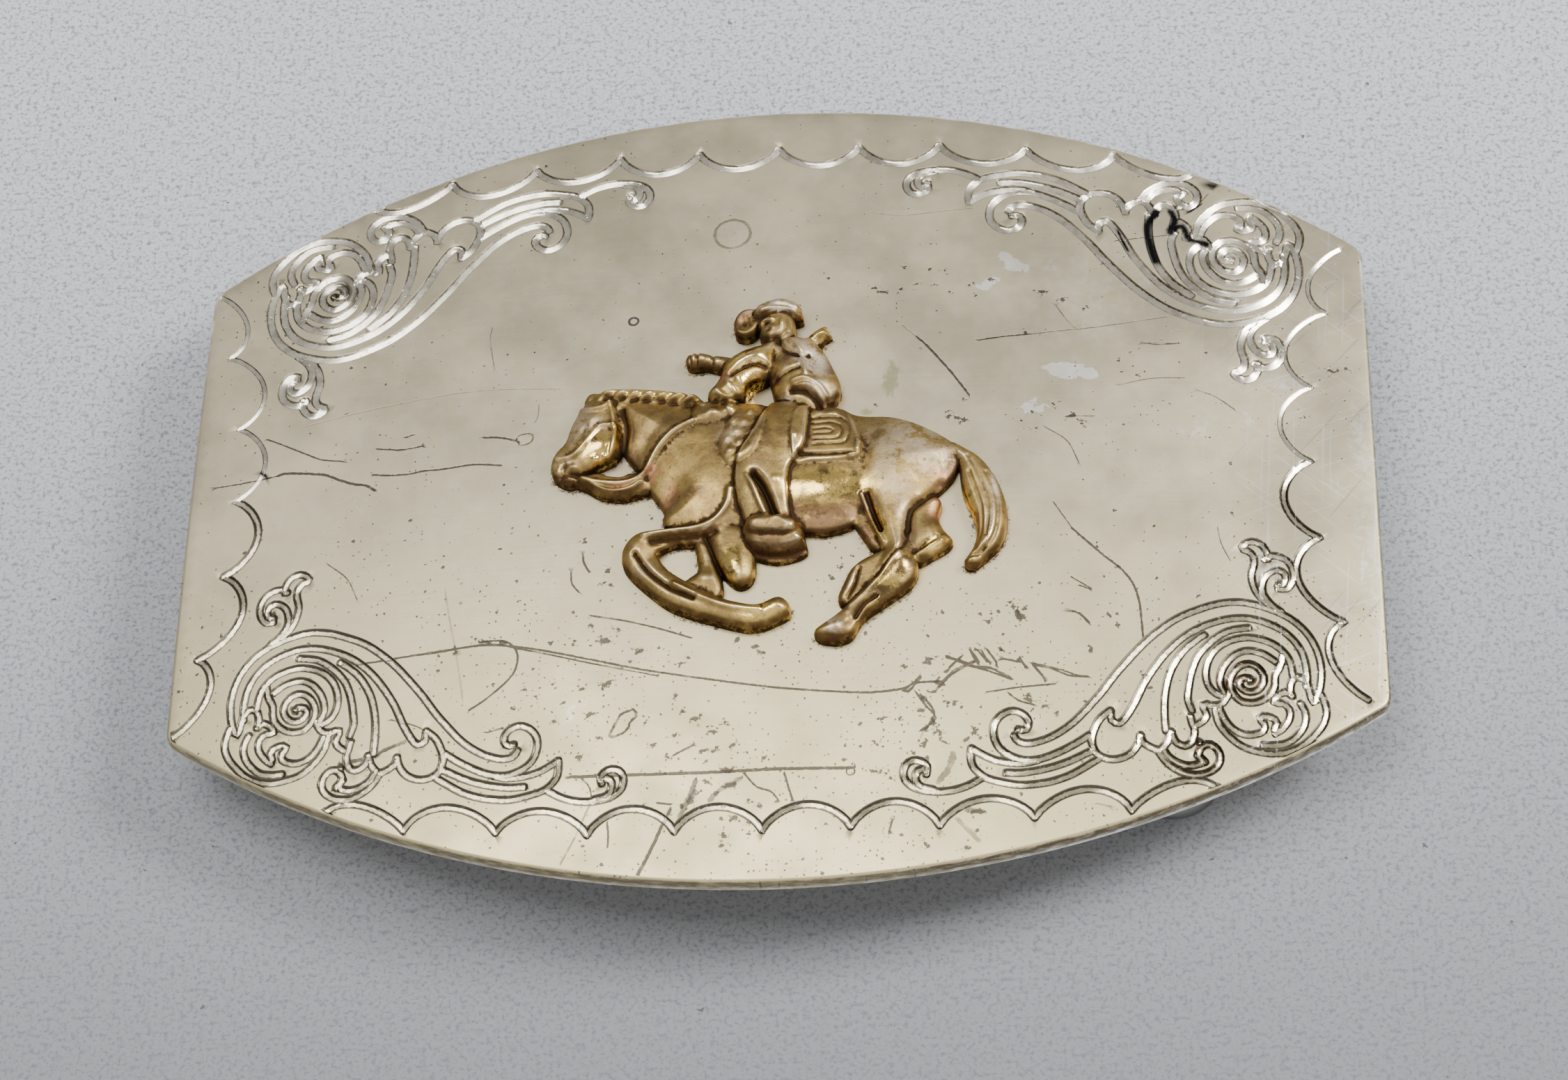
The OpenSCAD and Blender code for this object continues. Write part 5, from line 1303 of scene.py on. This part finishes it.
def sculpt(x, y):
    """The casting's outline depth and its height above the face, in millimetres."""
    outline_depth = casting_depth(x, y)
    height = np.zeros(x.shape)
    margin = 0.16
    for name, how, edge, crown, shoulder, outline in FORMS:
        shape = through(outline, OUTLINE_STEP, closed=True)
        low, high = shape.min(0) - 1.5, shape.max(0) + 1.5
        columns = (x[0] > low[0]) & (x[0] < high[0])
        rows = (y[:, 0] > low[1]) & (y[:, 0] < high[1])
        part = np.ix_(rows, columns)
        inside = depth_inside(x[part], y[part], shape)
        surface = np.where(inside > -margin, edge + (crown - edge) * pillow(inside, shoulder), 0)
        here = height[part]
        if how == "lay":
            step = edge * np.clip(inside / 0.18, 0, 1)
            height[part] = here + np.where(inside > 0, step + (crown - edge) * pillow(inside, shoulder), 0)
        elif how == "blend":
            height[part] = np.where(inside > -margin, melt(here, surface), here)
        else:
            height[part] = np.maximum(here, surface)
    height = soften(height, 2)
    for px, py, half_length, half_width, turn, rise in SWELLS:
        height += rise * oval(x, y, (px, py), half_length, half_width, turn)
    for index in range(PLAITS["count"]):
        place = [PLAITS["start"][axis] + index * PLAITS["step"][axis] for axis in (0, 1)]
        height += PLAITS["height"] * oval(x, y, place, PLAITS["long"], PLAITS["wide"], PLAITS["turn"])
    flat = np.stack([x.ravel(), y.ravel()], 1)
    for rise, half_width, points in LINES:
        run = through(points, 0.3)
        low, high = run.min(0) - 1.2, run.max(0) + 1.2
        near = np.all((flat > low) & (flat < high), axis=1)
        away = distance_to_runs(flat[near], [run])
        height.ravel()[near] += LINE_RISE * rise * np.exp(-(away / half_width) ** 2)
    height = soften(height, 1)
    rounding = np.clip(outline_depth / 0.2, 0, 1)
    height *= 1 - 0.2 * (1 - rounding) ** 2
    return outline_depth, np.maximum(height, LEAST_HEIGHT)


def build_casting(settings, plate):
    """The casting as a fine net over its outline, with an upright edge down to the face."""
    step = settings.grid_step / MM
    x, y = np.meshgrid(np.arange(*CASTING_SPAN_X, step), np.arange(*CASTING_SPAN_Y, step))
    outline_depth, height = sculpt(x, y)
    height *= (settings.tallest / MM) / height[outline_depth > 0].max()
    # Hollows, for tarnish that is also painted shade.
    hollow = np.clip((soften(height, HOLLOW_PASSES) - height) / 0.14, 0, 1)
    # Slopes facing the front, from the evened surface, for the painted shade on them.
    front_slope_shade = np.clip((np.gradient(soften(height, SLOPE_PASSES), step, axis=0) - 0.45) / 0.6, 0, 1)
    # Raised ridges, for polish and painted highlight along them.
    ridge = np.clip((height - soften(height, RIDGE_PASSES)) / 0.07, 0, 1)
    ridge = ridge * np.clip((outline_depth - 0.2) / 0.4, 0, 1)

    slope_y, slope_x = np.gradient(outline_depth, step)
    steep = slope_x ** 2 + slope_y ** 2 + 1e-6
    inner = outline_depth > 0.35 * step
    rim = ~inner & (outline_depth > -0.85 * step)
    shift = np.where(rim, np.clip(outline_depth / steep, -step, step), 0)
    x, y = x - shift * slope_x, y - shift * slope_y
    use = inner | rim
    number = np.arange(x.size).reshape(x.shape)
    corners = [(slice(None, -1), slice(None, -1)), (slice(None, -1), slice(1, None)),
               (slice(1, None), slice(1, None)), (slice(1, None), slice(None, -1))]
    used = np.stack([use[c] for c in corners])
    solid = np.stack([inner[c] for c in corners]).any(0)
    ids = np.stack([number[c] for c in corners])
    whole = solid & (used.sum(0) == 4)
    faces = [tuple(f) for f in ids[:, whole].T.tolist()]
    for missing in range(4):
        three = solid & (used.sum(0) == 3) & ~used[missing]
        keep = [k for k in range(4) if k != missing]
        faces += [tuple(f) for f in ids[keep][:, three].T.tolist()]

    metres = np.stack([x.ravel(), y.ravel()], 1) * MM
    ground = dome(metres[:, 0], metres[:, 1], plate.dome_radius, plate.face_height)
    points = np.column_stack([metres, ground + height.ravel() * MM])
    seen = {(a, b) for face in faces for a, b in zip(face, face[1:] + face[:1])}
    rims = [(a, b) for a, b in seen if (b, a) not in seen]
    foot = {}
    extra = []
    for pair in rims:
        for i in pair:
            if i not in foot:
                foot[i] = len(points) + len(extra)
                extra.append((metres[i, 0], metres[i, 1], ground[i] - 0.00002))
    faces += [(b, a, foot[a], foot[b]) for a, b in rims]
    # The band along the outline carries painted shade, stronger where the edge faces the front; the upright wall
    # takes it fully, and its foot the hollows' tint as well.
    facing = np.clip(0.55 + 0.6 * (slope_y / np.sqrt(steep)).ravel(), 0, 1)
    edge = np.clip(1 - outline_depth / 0.3, 0, 1).ravel() * facing
    layers = {"hollow": np.concatenate([hollow.ravel(), np.full(len(extra), 0.6)]),
              "edge": np.concatenate([edge, 1.3 * facing[list(foot)]]),
              "ridge": np.concatenate([ridge.ravel(), np.zeros(len(extra))]),
              "front_slope_shade": np.concatenate([front_slope_shade.ravel(), np.zeros(len(extra))])}
    return np.vstack([points, extra]), faces, layers


class BUCKLE_OT_casting(bpy.types.Operator):
    """Builds the relief of the horse and its rider"""

    bl_idname = "buckle.casting"
    bl_label = "Horse and rider"

    def execute(self, context):
        settings = context.scene.buckle_casting
        points, faces, layers = build_casting(settings, context.scene.buckle_plate)
        points, faces, used = drop_unused(points, faces)
        made = new_object("relief_casting", points, faces, gilt_casting(settings), sharp=62)
        x, y = points[:, 0] / MM, points[:, 1] / MM
        for name, values in layers.items():
            add_values(made, name, values[used])
        for kind, rows in TINTS.items():
            add_values(made, kind, patch_values(x, y, rows))
        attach(made, "root")
        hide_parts("horse_and_rider")
        return {"FINISHED"}


def swept_faces(rings, sides, closed=False):
    """Faces between rings of points that follow each other, with both ends filled unless they meet."""
    faces = []
    for i in range(rings if closed else rings - 1):
        a, b = i * sides, ((i + 1) % rings) * sides
        faces += [(a + k, a + (k + 1) % sides, b + (k + 1) % sides, b + k) for k in range(sides)]
    if not closed:
        faces += [tuple(range(sides - 1, -1, -1)), tuple((rings - 1) * sides + k for k in range(sides))]
    return faces


def tube(path, radius, closed=False, sides=28, round_end=False):
    """Points and faces of a wire along a path of 3D points."""
    path = np.array(path, float)
    radii = np.full(len(path), radius)
    if round_end:
        ahead = path[-1] - path[-2]
        ahead /= np.linalg.norm(ahead)
        turns = np.radians(np.linspace(0, 88, 9))[1:]
        path = np.vstack([path, path[-1] + radius * np.sin(turns)[:, None] * ahead])
        radii = np.concatenate([radii, radius * np.cos(turns)])
    if closed:
        ahead = np.roll(path, -1, axis=0) - np.roll(path, 1, axis=0)
    else:
        ahead = np.gradient(path, axis=0)
    ahead /= np.linalg.norm(ahead, axis=1)[:, None]
    side = np.cross(ahead[0], (0.0, 0.3, 1.0))
    points = []
    turns = np.linspace(0, 2 * math.pi, sides, endpoint=False)
    for place, forward, r in zip(path, ahead, radii):
        side = side - forward * (side @ forward)
        side /= np.linalg.norm(side)
        other = np.cross(forward, side)
        points.append(place + r * (np.cos(turns)[:, None] * side + np.sin(turns)[:, None] * other))
    return np.vstack(points), swept_faces(len(path), sides, closed)


def turned(profile, sides=64):
    """Points and faces of a form turned about Z, from a profile of radius and height pairs."""
    turns = np.linspace(0, 2 * math.pi, sides, endpoint=False)
    points = np.vstack([np.column_stack([r * np.cos(turns), r * np.sin(turns), np.full(sides, z)])
                        for r, z in profile])
    return points, swept_faces(len(profile), sides)


def join_forms(forms):
    """Several points-and-faces forms as one."""
    points, faces, count = [], [], 0
    for part_points, part_faces in forms:
        points.append(part_points)
        faces += [tuple(i + count for i in face) for face in part_faces]
        count += len(part_points)
    return np.vstack(points), faces


def arc(radius, start, end, steps):
    """A circle's offsets along its two axes, between two angles in degrees."""
    turns = np.radians(np.linspace(start, end, steps))
    return radius * np.cos(turns), radius * np.sin(turns)


class BUCKLE_OT_hook(bpy.types.Operator):
    """Builds the hook on the back, with its turned foot"""

    bl_idname = "buckle.hook"
    bl_label = "Belt hook"

    def execute(self, context):
        settings, plate = context.scene.buckle_fittings, context.scene.buckle_plate
        back_radius = plate.dome_radius - plate.thickness - FITTING_GAP
        lean = math.asin(settings.hook_x / back_radius)
        seat_z = plate.face_height - plate.dome_radius + math.sqrt(back_radius ** 2 - settings.hook_x ** 2)
        wire = settings.hook_wire / 2
        reach = settings.hook_bend + settings.hook_tip
        drop = (seat_z - wire - reach * math.sin(lean)) / math.cos(lean) - settings.hook_bend
        cos_run, sin_run = arc(settings.hook_bend, 0, 90, 17)
        bend = [(-settings.hook_bend + c, 0, -drop - s) for c, s in zip(cos_run, sin_run)]
        tip = [(-settings.hook_bend - settings.hook_tip * t, 0, -drop - settings.hook_bend) for t in (0.3, 0.6, 1)]
        post = [(0, 0, -settings.foot_thickness * 0.5), (0, 0, -settings.foot_thickness - 0.001)]
        wire_form = tube(post + bend + tip, wire, round_end=True)
        rim, thick, soft = settings.foot_width / 2, settings.foot_thickness, 0.0003
        rim_cos, rim_sin = arc(soft, 0, 90, 7)
        fillet_cos, fillet_sin = arc(HOOK_FILLET, 90, 0, 8)
        profile = [(rim * 0.3, 0.0), (rim - 0.0001, 0.0), (rim, -0.0001)]
        profile += [(rim - soft + c, -thick + soft - s) for c, s in zip(rim_cos, rim_sin)]
        profile += [(wire + HOOK_FILLET - c, -thick - HOOK_FILLET + s)
                    for c, s in zip(fillet_sin[::-1], fillet_cos[::-1])]
        foot_points, foot_faces = turned(profile)
        foot_faces = [tuple(reversed(face)) for face in foot_faces]
        points, faces = join_forms([wire_form, (foot_points, foot_faces)])
        turn = np.array(Matrix.Rotation(-lean, 3, "Y"))
        points = points @ turn.T + np.array([-settings.hook_x, 0, seat_z])
        made = new_object("bent_hook", points, faces, fitting_steel(settings), sharp=45)
        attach(made, "root")
        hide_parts("belt_hook")
        return {"FINISHED"}


def fitting_steel(settings):
    """The one steel finish that the hook and the loop share."""
    return bpy.data.materials.get("dull_plated_steel") or plated_steel(settings)


class BUCKLE_OT_loop(bpy.types.Operator):
    """Builds the wire loop and the block that holds it"""

    bl_idname = "buckle.loop"
    bl_label = "Belt loop"

    def execute(self, context):
        settings, plate = context.scene.buckle_fittings, context.scene.buckle_plate
        wire, bend = settings.loop_wire / 2, settings.loop_bend
        half = settings.loop_width / 2
        path = []
        for cx, cy, start in ((settings.loop_length - bend, half - bend, 0), (bend, half - bend, 90),
                              (bend, -half + bend, 180), (settings.loop_length - bend, -half + bend, 270)):
            cos_run, sin_run = arc(bend, start, start + 90, 11)
            path += [(cx + c, cy + s, 0) for c, s in zip(cos_run, sin_run)]
        tilt = math.asin((settings.hinge_z - wire) / settings.loop_length)
        loop_points, loop_faces = tube(path, wire, closed=True)
        turn = np.array(Matrix.Rotation(tilt, 3, "Y"))
        loop_points = loop_points @ turn.T + np.array([settings.hinge_x, 0, settings.hinge_z])
        block = self.block(settings, plate)
        points, faces = join_forms([(loop_points, loop_faces), block])
        made = new_object("wire_loop", points, faces, fitting_steel(settings), sharp=45)
        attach(made, "root")
        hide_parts("belt_loop")
        return {"FINISHED"}

    def block(self, settings, plate):
        """The block's section, swept along Y with rounded ends, its top following the plate's back."""
        sleeve = settings.loop_wire / 2 + 0.0009
        half_width = settings.block_width / 2
        cos_run, sin_run = arc(sleeve, 180, 360, 21)
        left = [(-half_width + x, z) for x, z in ((0, 0.006), (0, 0.0016), (0.0001, 0.001), (0.0003, 0.0005))]
        section = np.array(left + list(zip(cos_run, sin_run)) + [(-x, z) for x, z in reversed(left)])
        back_radius = plate.dome_radius - plate.thickness - FITTING_GAP
        soft, half_length = 0.0005, settings.block_length / 2
        end = [(half_length - soft * (1 - math.cos(a)), soft * (1 - math.sin(a)))
               for a in np.radians((90, 60, 30, 0))]
        stations = [(-y, inset) for y, inset in reversed(end)]
        stations += [(-half_length * k, 0.0) for k in (0.6, 0.2, -0.2, -0.6)] + end
        rows = []
        for y, inset in stations:
            shrink = 1 - inset / half_width
            x = settings.hinge_x + section[:, 0] * shrink
            z = settings.hinge_z + section[:, 1] * (1 - inset / sleeve * (section[:, 1] < 0))
            top = plate.face_height - plate.dome_radius + np.sqrt(back_radius ** 2 - x ** 2 - y ** 2)
            z = np.where(section[:, 1] > 0.005, top, z)
            rows.append(np.column_stack([x, np.full(len(x), y), z]))
        return np.vstack(rows), swept_faces(len(rows), len(section))


class BUCKLE_OT_stage(bpy.types.Operator):
    """Builds the floor, the studio light and the camera"""

    bl_idname = "buckle.stage"
    bl_label = "Stage"

    def execute(self, context):
        settings = context.scene.buckle_stage
        reach = 1.5
        corners = [(-reach, -reach, 0), (reach, -reach, 0), (reach, reach, 0), (-reach, reach, 0)]
        floor = new_object("floor", corners, [(0, 1, 2, 3)], pale_floor(settings))
        self.add_camera(context, settings)
        self.add_light("ceiling_light", (-0.11, 0.02, 0.6), (0, 0, 0), 0.38, settings.sky_power)
        self.add_light("key_light", (0.435, 0.09, 0.44), (0, 0, 0), 0.21, settings.key_power)
        context.scene.world = self.room(settings)
        return {"FINISHED"}

    def room(self, settings):
        """Light from all round, dimmer from the left and the back."""
        world = bpy.data.worlds.new("room")
        world.use_nodes = True
        tree = world.node_tree
        direction = put(tree, "ShaderNodeTexCoord").outputs["Generated"]
        parts = put(tree, "ShaderNodeSeparateXYZ", {"Vector": direction}).outputs
        sideways, forward = Amount(parts["X"]), Amount(parts["Y"])
        colour = mixed(tree, sideways.ramp(-0.7, 0.5), (0.65, 0.65, 0.66), (0.88, 0.87, 0.86))
        colour = mixed(tree, forward.ramp(-0.8, -0.2, 1.0, 0.0), colour, (2.35, 2.35, 2.38))
        colour = mixed(tree, forward.ramp(0.2, 0.8, 0.0, 0.6), colour, (0.7, 0.69, 0.67))
        glint = put(tree, "ShaderNodeVectorMath", {0: direction, 1: (0.5, -0.86, 0.08)}, operation="DOT_PRODUCT")
        colour = mixed(tree, Amount(glint.outputs["Value"]).ramp(0.9, 0.985), colour, (4.5, 4.5, 4.5))
        feed(tree.nodes["Background"], {"Color": colour, "Strength": settings.room_light})
        return world

    def add_camera(self, context, settings):
        """The camera at the photograph's angle."""
        right = Vector((0.99447, 0.01993, -0.10312))
        up = Vector((0.03507, 0.86247, 0.50489))
        back = right.cross(up)
        data = bpy.data.cameras.new("camera")
        data.lens = settings.lens
        data.sensor_width = 36
        data.sensor_fit = "HORIZONTAL"
        data.clip_start = 0.01
        camera = bpy.data.objects.new("camera", data)
        turn = Matrix((right, up, back)).transposed().to_4x4()
        camera.matrix_world = Matrix.Translation(Vector(settings.eye)) @ turn
        context.scene.collection.objects.link(camera)
        context.scene.camera = camera

    def add_light(self, name, place, target, size, power):
        """A square soft light that looks at a target."""
        data = bpy.data.lights.new(name, "AREA")
        data.shape = "SQUARE"
        data.size = size
        data.energy = power
        lamp = bpy.data.objects.new(name, data)
        lamp.location = place
        lamp.rotation_euler = (Vector(target) - Vector(place)).to_track_quat("-Z", "Y").to_euler()
        bpy.context.scene.collection.objects.link(lamp)


class BUCKLE_PT_sidebar(bpy.types.Panel):
    """Lists the buckle's pieces and their settings"""

    bl_idname = "BUCKLE_PT_sidebar"
    bl_label = "Western Belt Buckle"
    bl_space_type = "VIEW_3D"
    bl_region_type = "UI"
    bl_category = "Buckle"

    def draw(self, context):
        groups = (("buckle.stage", "buckle_stage"), ("buckle.plate", "buckle_plate"),
                  ("buckle.casting", "buckle_casting"), ("buckle.hook", "buckle_fittings"),
                  ("buckle.loop", "buckle_fittings"))
        shown = set()
        for operator, group in groups:
            box = self.layout.box()
            box.operator(operator)
            if group not in shown:
                settings = getattr(context.scene, group)
                for key in settings.bl_rna.properties.keys():
                    if key not in ("rna_type", "name"):
                        box.prop(settings, key)
                shown.add(group)


CLASSES = (EngravedPlateSettings, CastingSettings, FittingSettings, BuckleStageSettings, BUCKLE_OT_plate,
           BUCKLE_OT_casting, BUCKLE_OT_hook, BUCKLE_OT_loop, BUCKLE_OT_stage, BUCKLE_PT_sidebar)


def register():
    for cls in CLASSES:
        bpy.utils.register_class(cls)
    bpy.types.Scene.buckle_plate = PointerProperty(type=EngravedPlateSettings)
    bpy.types.Scene.buckle_casting = PointerProperty(type=CastingSettings)
    bpy.types.Scene.buckle_fittings = PointerProperty(type=FittingSettings)
    bpy.types.Scene.buckle_stage = PointerProperty(type=BuckleStageSettings)


def unregister():
    for name in ("buckle_stage", "buckle_fittings", "buckle_casting", "buckle_plate"):
        delattr(bpy.types.Scene, name)
    for cls in reversed(CLASSES):
        bpy.utils.unregister_class(cls)


def main():
    """Registers the add-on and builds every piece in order."""
    register()
    bpy.ops.buckle.stage()
    bpy.ops.buckle.plate()
    bpy.ops.buckle.casting()
    bpy.ops.buckle.hook()
    bpy.ops.buckle.loop()


if __name__ == "__main__":
    main()
